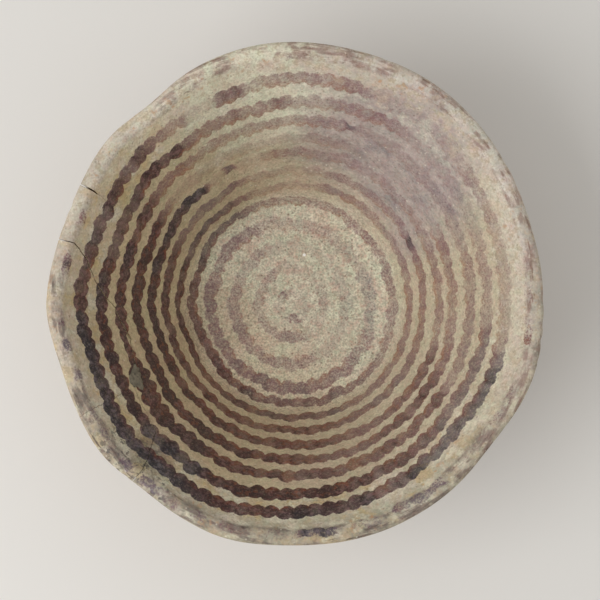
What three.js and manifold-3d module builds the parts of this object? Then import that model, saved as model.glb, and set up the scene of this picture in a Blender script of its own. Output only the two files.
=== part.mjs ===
// A hand-built ceramic bowl in the shape of an upturned helmet: a flat pat of clay for the base,
// three courses of wall joined on slanted seams, a thin coat of slip inside and over the lip,
// painted rings on the slip, and one broken rim sherd set back in its place.
// Lengths are millimetres and angles are degrees. +Z is up and the origin is the middle of the
// flat underside. Angles run anticlockwise from +X, seen from above.
import * as THREE from "three";
import { mergeVertices } from "three/addons/utils/BufferGeometryUtils.js";
import Module from "manifold-3d";

// The vessel's form
const RIM_DIAMETER = 150; // over the lip, before the swells
const HEIGHT = 64; // underside to the top of the lip
const WALL = 5.4; // thickness of the finished wall and of the rounded lip
const BASE_THICKNESS = 7; // underside to the inside floor
const FLOOR_DIAMETER = 52; // flat part of the inside floor
const TURN_RADIUS = 10; // of the inside turn from the floor into the wall
const REST_DIAMETER = 50; // flat part of the underside
const SHOULDER_DIAMETER = 113; // where the lines of the steep wall and of the brim cross
const SHOULDER_HEIGHT = 47.5;
const LIP_WRAP = 158; // how far round the lip's section the slip reaches

// Clay courses, measured along the inside of the wall; the lowest takes what the others leave
const RIM_COURSE = 22.8; // from where the lip begins to round down to the third seam
const UPPER_COURSE = 26; // from the third seam down to the second
const SEAM_SLANT = 4; // how much further up a seam lies on the outside

// Coatings
const SLIP = 0.5;
const PAINT = 0.3;
const RING_COUNT = 13; // evenly spaced along the floor and wall
const RING_WIDTH = 5;
const FIRST_RING_RADIUS = 3.1; // to the middle of the ring's width
const LAST_RING_DROP = 1.2; // from where the lip begins to round to the middle of the last ring

// Swells and flats of the hand-formed outline, as outward amounts at the rim
const SWELLS = [
  { at: 17, by: -0.4, spread: 9 },
  { at: 60, by: 2.3, spread: 27 },
  { at: 97, by: 2.0, spread: 19 },
  { at: 128, by: -2.0, spread: 9 },
  { at: 158, by: -1.8, spread: 17 },
  { at: 183, by: 0.7, spread: 8 },
  { at: 198, by: -0.9, spread: 11 },
  { at: 220, by: 0.6, spread: 8 },
  { at: 231, by: -0.7, spread: 8 },
  { at: 254, by: 1.2, spread: 11 },
  { at: 292, by: 0.7, spread: 20 },
  { at: 322, by: -0.7, spread: 9 },
  { at: 343, by: 1.2, spread: 13 },
];

// The break round the rim sherd, as [angle, ring]: ring 10.5 is midway between rings 10 and 11
const BREAK = [
  [167, 13],
  [170, 12.2],
  [177, 11.2],
  [183, 10.1],
  [194, 9.5],
  [203, 9.8],
  [210, 10.4],
  [219, 10.5],
  [224, 10.9],
  [228, 12.5],
  [228.6, 13],
];
const GLUE_GAP = 0.3; // left all round the sherd
const CUT_REACH = 40; // how far the cut for the sherd reaches past the wall, to clear it

// The lump of filler in a chip on the break
const FILLER_AT = [207, 10.1];
const FILLER_LENGTH = 8.4;
const FILLER_WIDTH = 6;
const FILLER_DEPTH = 2;
const FILLER_CLEARANCE = 0.3;

// Facets
const ROUND_STEPS = 36;
const LIP_STEPS = 4;
const HEEL_STEPS = 4;
const COURSE_STEPS = 3;
const FILLER_STEPS = 12;
const WELD = 1e-3; // vertices closer than this are one

const RAD = Math.PI / 180;
const wasm = await Module();
wasm.setup();

const finishes = {
  clay: { color: 0xb5946c, roughness: 0.92, metalness: 0 },
  slip: { color: 0xcbb88c, roughness: 0.85, metalness: 0 },
  paint: { color: 0x5e4136, roughness: 0.8, metalness: 0 },
  filler: { color: 0x8c8674, roughness: 0.95, metalness: 0 },
};

// The point where a line from a point outside a circle touches it, on the clockwise side.
function touchPoint(from, centre, radius) {
  const toPoint = from.clone().sub(centre);
  const angle = toPoint.angle() - Math.acos(radius / toPoint.length());
  return new THREE.Vector2(Math.cos(angle), Math.sin(angle)).multiplyScalar(radius).add(centre);
}

function arc(centre, radius, start, end, clockwise) {
  return new THREE.EllipseCurve(centre.x, centre.y, radius, radius, start, end, clockwise);
}

// The coated line: along the floor, round the turn, up the flaring wall and over the lip.
const floorRadius = FLOOR_DIAMETER / 2;
const lipRadius = WALL / 2;
const turnCentre = new THREE.Vector2(floorRadius, BASE_THICKNESS + TURN_RADIUS);
const lipCentre = new THREE.Vector2(RIM_DIAMETER / 2 - lipRadius, HEIGHT - lipRadius);
const shoulder = new THREE.Vector2(SHOULDER_DIAMETER / 2, SHOULDER_HEIGHT);
const wallStart = touchPoint(shoulder, turnCentre, TURN_RADIUS);
const wallEnd = touchPoint(shoulder, lipCentre, lipRadius);
const lipStartAngle = wallEnd.clone().sub(lipCentre).angle();

const floorLine = new THREE.LineCurve(
  new THREE.Vector2(0, BASE_THICKNESS),
  new THREE.Vector2(floorRadius, BASE_THICKNESS),
);
const wallStartAngle = wallStart.clone().sub(turnCentre).angle();
const turnArc = arc(turnCentre, TURN_RADIUS, -Math.PI / 2, wallStartAngle - 2 * Math.PI, false);
const wallCurve = new THREE.QuadraticBezierCurve(wallStart, shoulder, wallEnd);
const lipArc = arc(lipCentre, lipRadius, lipStartAngle, lipStartAngle - LIP_WRAP * RAD, true);

const coated = new THREE.CurvePath();
[floorLine, turnArc, wallCurve, lipArc].forEach((curve) => coated.add(curve));
const coatedLength = coated.getLength();
const turnEnd = floorRadius + turnArc.getLength();
const lipStart = turnEnd + wallCurve.getLength();

// A point in the section, so far along the coated line and so deep into the clay from it.
function sectionPoint(along, depth) {
  const share = along / coatedLength;
  const tangent = coated.getTangent(share);
  const inward = new THREE.Vector2(tangent.y, -tangent.x);
  return coated.getPoint(share).addScaledVector(inward, depth);
}

// The places along the coated line where facets meet: ring edges, seams, the turn and the lip.
const ringPitch = (lipStart - LAST_RING_DROP - FIRST_RING_RADIUS) / (RING_COUNT - 1);
const rings = Array.from({ length: RING_COUNT }, (_, i) => {
  const middle = ringPlace(i + 1);
  return { from: middle - RING_WIDTH / 2, to: middle + RING_WIDTH / 2 };
});
const baseSeam = floorRadius;
const rimSeam = lipStart - RIM_COURSE;
const middleSeam = rimSeam - UPPER_COURSE;
const lipPlaces = Array.from(
  { length: LIP_STEPS + 1 },
  (_, i) => lipStart + ((coatedLength - lipStart) * i) / LIP_STEPS,
);
const places = [
  0,
  ...rings.flatMap((ring) => [ring.from, ring.to]),
  baseSeam,
  turnEnd,
  middleSeam,
  rimSeam,
  ...lipPlaces,
]
  .sort((a, b) => a - b)
  .filter((place, i, all) => i === 0 || place - all[i - 1] > WELD);

// How far along the coated line a ring lies, for whole rings and places between them.
function ringPlace(ring) {
  return FIRST_RING_RADIUS + (ring - 1) * ringPitch;
}

// The stretch of the coated line between two places, at one depth.
function coatedRun(from, to, depth) {
  return places
    .filter((place) => place > from - WELD && place < to + WELD)
    .map((place) => sectionPoint(place, depth));
}

// The outside of the wall: a soft heel above the resting face, then a line even with the inside.
const outsideDepth = WALL - SLIP;
const heelEnd = sectionPoint(turnEnd, outsideDepth);
const wallLean = coated.getTangent(turnEnd / coatedLength);
const heel = new THREE.QuadraticBezierCurve(
  new THREE.Vector2(REST_DIAMETER / 2, 0),
  new THREE.Vector2(heelEnd.x - (heelEnd.y * wallLean.x) / wallLean.y, 0),
  heelEnd,
).getPoints(HEEL_STEPS);
const heelSeam = HEEL_STEPS / 2;

function outsideRun(from, to) {
  return Array.from({ length: COURSE_STEPS + 1 }, (_, i) =>
    sectionPoint(from + ((to - from) * i) / COURSE_STEPS, outsideDepth),
  );
}

// How much wider than round the bowl is in one direction.
function swellAt(angle) {
  const amount = SWELLS.reduce((sum, swell) => {
    const away = ((((angle - swell.at) % 360) + 540) % 360) - 180;
    return sum + swell.by * Math.exp(-((away / swell.spread) ** 2));
  }, 0);
  return 1 + amount / (RIM_DIAMETER / 2);
}

// Every piece takes the same swells, so neighbours stay face to face.
function swell(geometry) {
  const at = geometry.getAttribute("position");
  for (let i = 0; i < at.count; i++) {
    const scale = swellAt(Math.atan2(at.getY(i), at.getX(i)) / RAD);
    at.setXY(i, at.getX(i) * scale, at.getY(i) * scale);
  }
  return geometry;
}

// A closed geometry as a solid, with shared vertices joined and collapsed triangles dropped.
function solidOf(geometry) {
  const bare = new THREE.BufferGeometry();
  bare.setAttribute("position", geometry.getAttribute("position"));
  bare.setIndex(geometry.getIndex());
  const joined = mergeVertices(bare, WELD);
  const corners = joined.getIndex().array;
  const kept = [];
  for (let i = 0; i < corners.length; i += 3) {
    const [a, b, c] = corners.slice(i, i + 3);
    if (a !== b && b !== c && c !== a) kept.push(a, b, c);
  }
  const vertProperties = new Float32Array(joined.getAttribute("position").array);
  const triVerts = new Uint32Array(kept);
  return new wasm.Manifold(new wasm.Mesh({ numProp: 3, vertProperties, triVerts }));
}

function geometryOf(solid) {
  const { vertProperties, triVerts } = solid.getMesh();
  const geometry = new THREE.BufferGeometry();
  geometry.setAttribute("position", new THREE.BufferAttribute(vertProperties, 3));
  geometry.setIndex(new THREE.BufferAttribute(triVerts, 1));
  geometry.computeVertexNormals();
  return geometry;
}

// A section turned about the bowl's axis. The section runs anticlockwise in radius and height.
function turned(section) {
  const geometry = new THREE.LatheGeometry(section, ROUND_STEPS).rotateX(Math.PI / 2);
  return solidOf(swell(geometry));
}

function closed(section) {
  return [...section, section[0].clone()];
}

// A ring of wall between an outside line and the clay under the slip.
function course(outside, from, to) {
  return turned(closed([...outside, ...coatedRun(from, to, SLIP).reverse()]));
}

// A point of the section at an angle round the bowl, before the swells.
function roundPoint(angle, point) {
  return new THREE.Vector3(
    point.x * Math.cos(angle * RAD),
    point.x * Math.sin(angle * RAD),
    point.y,
  );
}

// The break moved outwards by some amount on the unrolled wall, as [angle, place].
function brokenEdge(grow) {
  const wallRadius = lipCentre.x;
  const flat = BREAK.map(
    ([angle, ring]) => new THREE.Vector2(angle * RAD * wallRadius, ringPlace(ring)),
  );
  return flat.map((point, i) => {
    const before = flat[Math.max(i - 1, 0)];
    const after = flat[Math.min(i + 1, flat.length - 1)];
    const along = after.clone().sub(before).normalize();
    const moved = point.clone().add(new THREE.Vector2(along.y, -along.x).multiplyScalar(grow));
    return [moved.x / wallRadius / RAD, moved.y];
  });
}

// A block that holds the whole sherd: its sides stand square to the wall along the break, and
// its two ends rise clear of the lip.
function sherdBlock(grow) {
  const edge = brokenEdge(grow);
  const above = HEIGHT + CUT_REACH;
  const inner = edge.map(([angle, place]) => roundPoint(angle, sectionPoint(place, -WALL)));
  const outer = edge.map(([angle, place]) =>
    roundPoint(angle, sectionPoint(place, WALL + CUT_REACH)),
  );
  const ends = [edge[edge.length - 1][0], edge[0][0]];
  ends.forEach((angle) => {
    inner.push(roundPoint(angle, new THREE.Vector2(lipCentre.x - WALL, above)));
    outer.push(roundPoint(angle, new THREE.Vector2(RIM_DIAMETER / 2 + CUT_REACH, above)));
  });
  const top = coatedLength + CUT_REACH;
  const outline = [...edge, [ends[0], top], [ends[1], top]];
  const flat = outline.map(([angle, place]) => new THREE.Vector2(angle, place));
  const count = flat.length;
  const index = [];
  THREE.ShapeUtils.triangulateShape(flat, []).forEach(([a, b, c]) => {
    index.push(a, c, b);
    index.push(a + count, b + count, c + count);
  });
  for (let i = 0; i < count; i++) {
    const next = (i + 1) % count;
    index.push(i, next, next + count);
    index.push(i, next + count, i + count);
  }
  const geometry = new THREE.BufferGeometry().setFromPoints([...inner, ...outer]);
  geometry.setIndex(index);
  return solidOf(swell(geometry));
}

// The filler's oval plug, standing square to the wall, larger all round by some amount.
function fillerPlug(grow, proud) {
  const [angle, ring] = FILLER_AT;
  const middle = sectionPoint(ringPlace(ring), 0);
  const outline = new THREE.Shape();
  outline.absellipse(0, 0, FILLER_LENGTH / 2 + grow, FILLER_WIDTH / 2 + grow, 0, 2 * Math.PI);
  const geometry = new THREE.ExtrudeGeometry(outline, {
    depth: FILLER_DEPTH + grow + proud,
    bevelEnabled: false,
    curveSegments: FILLER_STEPS,
  });
  geometry.translate(0, 0, -FILLER_DEPTH - grow);
  const tangent = coated.getTangent(ringPlace(ring) / coatedLength);
  const round = new THREE.Vector3(-Math.sin(angle * RAD), Math.cos(angle * RAD), 0);
  const up = roundPoint(angle, tangent);
  const out = new THREE.Vector3().crossVectors(round, up);
  geometry.applyMatrix4(new THREE.Matrix4().makeBasis(round, up, out));
  geometry.translate(...roundPoint(angle, middle).toArray());
  return solidOf(swell(geometry));
}

function piece(name, solid, finish) {
  const mesh = new THREE.Mesh(geometryOf(solid), new THREE.MeshStandardMaterial(finish));
  mesh.name = name;
  return mesh;
}

const sherdSpace = sherdBlock(GLUE_GAP);
const sherdForm = sherdBlock(0);
const fillerPocket = fillerPlug(FILLER_CLEARANCE, WALL);

// What stays on the bowl when the sherd and the filler are taken away.
function beyondBreak(solid) {
  return solid.subtract(sherdSpace).subtract(fillerPocket);
}

// What comes away with the sherd.
function withinBreak(solid) {
  return solid.intersect(sherdForm).subtract(fillerPocket);
}

const bowl = new THREE.Group();

// The clay
const basePat = turned([
  new THREE.Vector2(0, 0),
  ...heel.slice(0, heelSeam + 1),
  ...coatedRun(0, baseSeam, SLIP).reverse(),
]);
const lowerOutside = [
  ...heel.slice(heelSeam, HEEL_STEPS),
  ...outsideRun(turnEnd, middleSeam + SEAM_SLANT),
];
const upperOutside = outsideRun(middleSeam + SEAM_SLANT, rimSeam + SEAM_SLANT);
const rimOutside = outsideRun(rimSeam + SEAM_SLANT, lipStart);
const wallOutside = [...lowerOutside, ...upperOutside.slice(1), ...rimOutside.slice(1)];
const lowerCourse = course(lowerOutside, baseSeam, middleSeam);
const upperCourse = course(upperOutside, middleSeam, rimSeam);
const rimCourse = course(rimOutside, rimSeam, coatedLength);
const wholeWall = course(wallOutside, baseSeam, coatedLength);
bowl.add(piece("base_pat", basePat, finishes.clay));
bowl.add(piece("lower_wall_course", beyondBreak(lowerCourse), finishes.clay));
bowl.add(piece("upper_wall_course", beyondBreak(upperCourse), finishes.clay));
bowl.add(piece("rim_course", beyondBreak(rimCourse), finishes.clay));
bowl.add(piece("rim_sherd", withinBreak(wholeWall), finishes.clay));

// The slip
const slipCoat = turned([
  ...coatedRun(0, coatedLength, SLIP),
  ...coatedRun(0, coatedLength, 0).reverse(),
]);
bowl.add(piece("interior_slip", beyondBreak(slipCoat), finishes.slip));
bowl.add(piece("sherd_slip", withinBreak(slipCoat), finishes.slip));

// The painted rings, each broken where the break crosses it
rings.forEach((ring, i) => {
  const name = "paint_ring_" + String(i + 1).padStart(2, "0");
  const band = turned(
    closed([
      ...coatedRun(ring.from, ring.to, 0),
      ...coatedRun(ring.from, ring.to, -PAINT).reverse(),
    ]),
  );
  beyondBreak(band)
    .decompose()
    .forEach((stretch, k) => {
      bowl.add(piece(name + (k ? "_" + (k + 1) : ""), stretch, finishes.paint));
    });
  withinBreak(band)
    .decompose()
    .forEach((stretch, k) => {
      bowl.add(piece(name + "_sherd" + (k ? "_" + (k + 1) : ""), stretch, finishes.paint));
    });
});

bowl.add(piece("crack_filler", fillerPlug(0, PAINT), finishes.filler));

export default bowl;
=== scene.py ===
"""The dressed helmet bowl: clay, slip, painted rings, the mended sherd and a plain studio.

Lengths are metres and angles are degrees. +Z is up, the origin is the middle of the flat
underside, and angles run anticlockwise from +X, seen from above. A place is a distance along
the coated line, from the middle of the floor towards the lip.
"""
import logging
import math
import random
from bisect import bisect_right
from collections.abc import Callable, Sequence
from dataclasses import dataclass, field
from enum import Enum

import bmesh
import bpy
from mathutils import Matrix, Vector, noise


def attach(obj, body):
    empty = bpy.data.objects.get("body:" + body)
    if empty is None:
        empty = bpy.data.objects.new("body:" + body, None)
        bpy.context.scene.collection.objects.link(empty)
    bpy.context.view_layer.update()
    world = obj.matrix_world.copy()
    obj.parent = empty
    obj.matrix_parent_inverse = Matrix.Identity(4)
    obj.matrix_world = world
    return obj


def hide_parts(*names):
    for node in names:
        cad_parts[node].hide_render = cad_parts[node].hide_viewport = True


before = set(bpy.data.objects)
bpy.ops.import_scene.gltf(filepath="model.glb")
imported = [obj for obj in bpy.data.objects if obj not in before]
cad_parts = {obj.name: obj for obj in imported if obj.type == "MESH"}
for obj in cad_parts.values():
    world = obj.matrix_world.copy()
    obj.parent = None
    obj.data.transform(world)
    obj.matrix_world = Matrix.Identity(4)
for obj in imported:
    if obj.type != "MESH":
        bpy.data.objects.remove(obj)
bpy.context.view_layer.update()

MM = 0.001
SPIN_SHARES = 16
JOIN = 1e-6
NOISE_SEED = 7
FLECK_CORE = 0.45
PATCH_EDGE = (1.15, 0.45)
PATCH_UNREST = 1.3
HAIRLINE_UNREST = 12.0
HAIRLINE_FADE = 2.0 * MM
LOG = logging.getLogger("helmet_bowl")

Socket = bpy.types.NodeSocket
Colour = tuple[float, float, float, float]


class Slot(Enum):
    """The material slots."""

    CLAY = "clay"
    SLIP = "slip"
    PAINT = "paint"
    FILLER = "filler"


class Cut(Enum):
    """What a cutter does to a piece."""

    AWAY = "DIFFERENCE"
    KEEP = "INTERSECT"


def srgb(red: float, green: float, blue: float) -> Colour:
    """Turns a colour as the eye reads it, in 0 to 255, into the linear colour of a socket.

    Args:
        red: Red, 0 to 255.
        green: Green, 0 to 255.
        blue: Blue, 0 to 255.

    Returns:
        The linear colour with full alpha.
    """
    parts = []
    for part in (red, green, blue):
        share = part / 255.0
        linear = share / 12.92 if share <= 0.04045 else ((share + 0.055) / 1.055) ** 2.4
        parts.append(linear)
    return (parts[0], parts[1], parts[2], 1.0)


def smooth_step(low: float, high: float, value: float) -> float:
    """Rises softly from 0 at low to 1 at high.

    Args:
        low: Where the rise starts.
        high: Where the rise ends.
        value: Where to read it.

    Returns:
        A share from 0 to 1.
    """
    share = min(max((value - low) / (high - low), 0.0), 1.0)
    return share * share * (3.0 - 2.0 * share)


def turn_between(angle: float, other: float) -> float:
    """The shortest turn from one angle to another, from -180 to 180."""
    return (other - angle + 540.0) % 360.0 - 180.0


def swung(radius: float, turn: float, height: float) -> Vector:
    """The point at a radius, a turn in radians and a height."""
    return Vector((radius * math.cos(turn), radius * math.sin(turn), height))


def evenly(start: float, stop: float, count: int) -> list[float]:
    """The values from start to stop in a number of even steps."""
    return [start + (stop - start) * index / count for index in range(count + 1)]


@dataclass
class CoatedLine:
    """The slip's face in the bowl's section: along the floor, up the wall and over the lip."""

    rim_radius: float = 75.0 * MM
    height: float = 64.0 * MM
    wall: float = 5.4 * MM
    base_thickness: float = 7.0 * MM
    floor_radius: float = 26.0 * MM
    turn_radius: float = 10.0 * MM
    shoulder_radius: float = 56.5 * MM
    shoulder_height: float = 47.5 * MM
    lip_wrap: float = 158.0
    sample: float = 0.2 * MM
    points: list[Vector] = field(default_factory=list)
    lengths: list[float] = field(default_factory=list)
    turn_end: float = 0.0
    lip_start: float = 0.0

    def __post_init__(self) -> None:
        """Lays the floor, the turn, the wall and the lip end to end."""
        turn_centre = Vector((self.floor_radius, self.base_thickness + self.turn_radius))
        lip_radius = self.wall / 2.0
        lip_centre = Vector((self.rim_radius - lip_radius, self.height - lip_radius))
        shoulder = Vector((self.shoulder_radius, self.shoulder_height))
        wall_start = self.touch_point(shoulder, turn_centre, self.turn_radius)
        wall_end = self.touch_point(shoulder, lip_centre, lip_radius)
        turn_to = math.atan2(wall_start.y - turn_centre.y, wall_start.x - turn_centre.x)
        lip_from = math.atan2(wall_end.y - lip_centre.y, wall_end.x - lip_centre.x)
        lip_to = lip_from - math.radians(self.lip_wrap)
        floor_middle = Vector((0.0, self.base_thickness))
        floor_edge = Vector((self.floor_radius, self.base_thickness))
        self.extend(self.floor_radius, lambda share: floor_middle.lerp(floor_edge, share))
        self.extend(
            self.turn_radius * (turn_to + math.pi / 2.0),
            lambda share: turn_centre
            + self.turn_radius * self.compass(-math.pi / 2.0 + share * (turn_to + math.pi / 2.0)),
        )
        self.turn_end = self.lengths[-1]
        self.extend(
            (wall_end - wall_start).length,
            lambda share: wall_start.lerp(shoulder, share).lerp(shoulder.lerp(wall_end, share), share),
        )
        self.lip_start = self.lengths[-1]
        self.extend(
            lip_radius * (lip_from - lip_to),
            lambda share: lip_centre + lip_radius * self.compass(lip_from + share * (lip_to - lip_from)),
        )

    @staticmethod
    def compass(angle: float) -> Vector:
        """The unit vector at an angle in radians, in the section."""
        return Vector((math.cos(angle), math.sin(angle)))

    @staticmethod
    def touch_point(start: Vector, centre: Vector, radius: float) -> Vector:
        """The point where a line from outside a circle touches it, on the clockwise side.

        Args:
            start: The point outside the circle.
            centre: The circle's centre.
            radius: The circle's radius.

        Returns:
            The point on the circle.
        """
        reach = start - centre
        angle = math.atan2(reach.y, reach.x) - math.acos(radius / reach.length)
        return centre + radius * CoatedLine.compass(angle)

    def extend(self, length: float, curve: Callable[[float], Vector]) -> None:
        """Adds one curve to the line.

        Args:
            length: About how long the curve is.
            curve: The point at each share of the curve, from 0 to 1.
        """
        steps = max(2, round(length / self.sample))
        first = 1 if self.points else 0
        for step in range(first, steps + 1):
            point = curve(step / steps)
            travelled = self.lengths[-1] + (point - self.points[-1]).length if self.points else 0.0
            self.points.append(point)
            self.lengths.append(travelled)

    @property
    def end(self) -> float:
        """The place where the line ends, round the lip."""
        return self.lengths[-1]

    def point(self, place: float, depth: float = 0.0) -> Vector:
        """A point of the section.

        Args:
            place: How far along the line.
            depth: How far into the clay from it.

        Returns:
            The radius and the height.
        """
        after = min(max(bisect_right(self.lengths, place), 1), len(self.points) - 1)
        before = after - 1
        step = self.lengths[after] - self.lengths[before]
        share = min(max((place - self.lengths[before]) / step, 0.0), 1.0)
        tangent = self.tangent(place)
        inward = Vector((tangent.y, -tangent.x))
        return self.points[before].lerp(self.points[after], share) + inward * depth

    def tangent(self, place: float) -> Vector:
        """The line's direction at a place, towards the lip."""
        after = min(max(bisect_right(self.lengths, place), 2), len(self.points) - 2)
        return (self.points[after + 1] - self.points[after - 2]).normalized()

    def round_point(self, angle: float, place: float, depth: float = 0.0) -> Vector:
        """A point of the bowl before the potter's hand shapes it.

        Args:
            angle: The direction round the bowl.
            place: How far along the line.
            depth: How far into the clay.

        Returns:
            The point in the bowl's frame.
        """
        flat = self.point(place, depth)
        return swung(flat.x, math.radians(angle), flat.y)


@dataclass(frozen=True)
class Swell:
    """A smooth rise round one direction, or a fall where it is negative."""

    at: float
    by: float
    spread: float

    def amount(self, angle: float) -> float:
        """How much of it is felt in a direction."""
        return self.by * math.exp(-((turn_between(self.at, angle) / self.spread) ** 2))


@dataclass(frozen=True)
class Nick:
    """A knock in the lip."""

    at: float
    place: float
    radius: float
    depth: float


@dataclass
class HandForm:
    """How the potter's hand and long use put the bowl out of true."""

    line: CoatedLine
    swells: tuple[Swell, ...] = (
        Swell(17.0, -0.4 * MM, 9.0),
        Swell(60.0, 2.3 * MM, 27.0),
        Swell(97.0, 2.0 * MM, 19.0),
        Swell(128.0, -2.0 * MM, 9.0),
        Swell(158.0, -1.8 * MM, 17.0),
        Swell(183.0, 0.7 * MM, 8.0),
        Swell(198.0, -0.9 * MM, 11.0),
        Swell(220.0, 0.6 * MM, 8.0),
        Swell(231.0, -0.7 * MM, 8.0),
        Swell(254.0, 1.2 * MM, 11.0),
        Swell(292.0, 0.7 * MM, 20.0),
        Swell(322.0, -0.7 * MM, 9.0),
        Swell(343.0, 1.2 * MM, 13.0),
    )
    inset: float = 0.9966
    dent: float = 0.4 * MM
    dent_size: float = 24.0 * MM
    ripple: float = 0.1 * MM
    ripple_size: float = 7.0 * MM
    rest_height: float = 4.0 * MM
    lip_height: float = 57.0 * MM
    lip_blend: float = 10.0 * MM
    lip_calm: float = 0.3
    lip_square: float = 3.0
    dip: float = 0.7 * MM
    dip_at: float = 215.0
    nick_count: int = 26
    nick_places: tuple[float, float] = (1.5 * MM, 6.5 * MM)
    nick_radii: tuple[float, float] = (1.4 * MM, 3.4 * MM)
    nick_depths: tuple[float, float] = (0.12 * MM, 0.38 * MM)
    nick_seed: int = 11
    nicks: list[tuple[Vector, Vector, Nick]] = field(default_factory=list)
    scale_steps: int = 3600
    scales: list[float] = field(default_factory=list)

    def __post_init__(self) -> None:
        """Lists the swell in each direction and scatters the nicks round the lip."""
        for index in range(self.scale_steps):
            angle = 360.0 * index / self.scale_steps
            amount = sum(swell.amount(angle) for swell in self.swells)
            self.scales.append(self.inset * (1.0 + amount / self.line.rim_radius))
        draw = random.Random(self.nick_seed)
        for _ in range(self.nick_count):
            nick = Nick(
                draw.uniform(0.0, 360.0),
                self.line.lip_start + draw.uniform(*self.nick_places),
                draw.uniform(*self.nick_radii),
                draw.uniform(*self.nick_depths),
            )
            middle = self.line.round_point(nick.at, nick.place)
            inward = self.line.round_point(nick.at, nick.place, 1.0 * MM) - middle
            self.nicks.append((middle, inward.normalized(), nick))

    def scale(self, angle: float) -> float:
        """How much wider than round the bowl is in one direction.

        Args:
            angle: The direction.

        Returns:
            A factor.
        """
        spot = angle % 360.0 / 360.0 * self.scale_steps
        before = int(spot)
        first = self.scales[before % self.scale_steps]
        second = self.scales[(before + 1) % self.scale_steps]
        return first + (second - first) * (spot - before)

    def squared(self, point: Vector) -> Vector:
        """Fills out the outer shoulder of the lip, which is squarer than a half round.

        Args:
            point: A point of the true bowl.

        Returns:
            The point, moved if it lies on the shoulder.
        """
        half = self.line.wall / 2.0
        middle = Vector((self.line.rim_radius - half, self.line.height - half))
        radius = math.hypot(point.x, point.y)
        arm = Vector((radius, point.z)) - middle
        if arm.x <= 0.0 or arm.y <= 0.0:
            return point
        unit = arm.normalized()
        power = self.lip_square
        arm *= (unit.x**power + unit.y**power) ** (-1.0 / power)
        wider = (middle.x + arm.x) / radius
        return Vector((point.x * wider, point.y * wider, middle.y + arm.y))

    def shape(self, point: Vector) -> Vector:
        """Moves a point of the true bowl to where it is on the real one.

        Args:
            point: A point of the true bowl.

        Returns:
            The point on the hand-formed bowl.
        """
        point = self.squared(point)
        angle = math.degrees(math.atan2(point.y, point.x))
        scale = self.scale(angle)
        drift = noise.noise_vector(point / self.dent_size) * self.dent
        drift += noise.noise_vector(point / self.ripple_size) * self.ripple
        drift *= smooth_step(0.0, self.rest_height, point.z)
        lip = smooth_step(self.lip_height - self.lip_blend, self.lip_height, point.z)
        drift *= 1.0 + lip * (self.lip_calm - 1.0)
        drift.z -= lip * abs(drift.z) * 2.0
        high = max(point.z / self.line.height, 0.0)
        lean = 0.5 + 0.5 * math.cos(2.0 * math.radians(turn_between(self.dip_at, angle)))
        drift.z -= self.dip * high**3 * lean
        if point.z > self.lip_height:
            for middle, inward, nick in self.nicks:
                away = (point - middle).length / nick.radius
                if away < 1.0:
                    drift += inward * nick.depth * (1.0 - away * away) ** 2
        return Vector((point.x * scale, point.y * scale, point.z)) + drift


def turned(
    section: Sequence[Vector],
    steps: int,
    closed: bool,
    **marks: Sequence[float],
) -> bmesh.types.BMesh:
    """Turns a section about the bowl's axis: one sixteenth by a spin, then four doublings.

    Args:
        section: Radius and height of each corner.
        steps: How many steps there are round the bowl, a multiple of 16.
        closed: Whether the last corner joins the first.
        marks: A value for each corner, which its copies keep in the layer of that name.

    Returns:
        The closed solid.
    """
    bm = bmesh.new()
    for name in marks:
        bm.verts.layers.float.new(name)
    corners = [bm.verts.new((point.x, 0.0, point.y)) for point in section]
    for name, values in marks.items():
        layer = bm.verts.layers.float[name]
        for corner, value in zip(corners, values):
            corner[layer] = value
    following = corners[1:] + corners[:1] if closed else corners[1:]
    for pair in zip(corners, following):
        bm.edges.new(pair)
    share = 2.0 * math.pi / SPIN_SHARES
    middle = (0.0, 0.0, 0.0)
    bmesh.ops.spin(
        bm,
        geom=[*bm.verts, *bm.edges],
        cent=middle,
        axis=(0.0, 0.0, 1.0),
        angle=share,
        steps=steps // SPIN_SHARES,
    )
    while share < 2.0 * math.pi - JOIN:
        twin = bmesh.ops.duplicate(bm, geom=[*bm.verts, *bm.edges, *bm.faces])
        verts = [item for item in twin["geom"] if isinstance(item, bmesh.types.BMVert)]
        bmesh.ops.rotate(bm, cent=middle, matrix=Matrix.Rotation(share, 3, "Z"), verts=verts)
        share *= 2.0
    bmesh.ops.remove_doubles(bm, verts=bm.verts, dist=JOIN)
    bmesh.ops.recalc_face_normals(bm, faces=bm.faces)
    return bm


def as_piece(name: str, bm: bmesh.types.BMesh) -> bpy.types.Object:
    """Puts a bmesh into the scene as an object at the origin.

    Args:
        name: The piece's name.
        bm: Its mesh, which is freed.

    Returns:
        The object.
    """
    layers = bm.verts.layers.float
    for layer in list(layers.keys()):
        layers.remove(layers[layer])
    mesh = bpy.data.meshes.new(name)
    bm.to_mesh(mesh)
    bm.free()
    piece = bpy.data.objects.new(name, mesh)
    bpy.context.scene.collection.objects.link(piece)
    return piece


def copy_of(piece: bpy.types.Object, name: str) -> bpy.types.Object:
    """Copies a piece under a new name, with a mesh of its own.

    Args:
        piece: The piece to copy.
        name: The copy's name.

    Returns:
        The copy.
    """
    twin = bpy.data.objects.new(name, piece.data.copy())
    bpy.context.scene.collection.objects.link(twin)
    return twin


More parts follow.
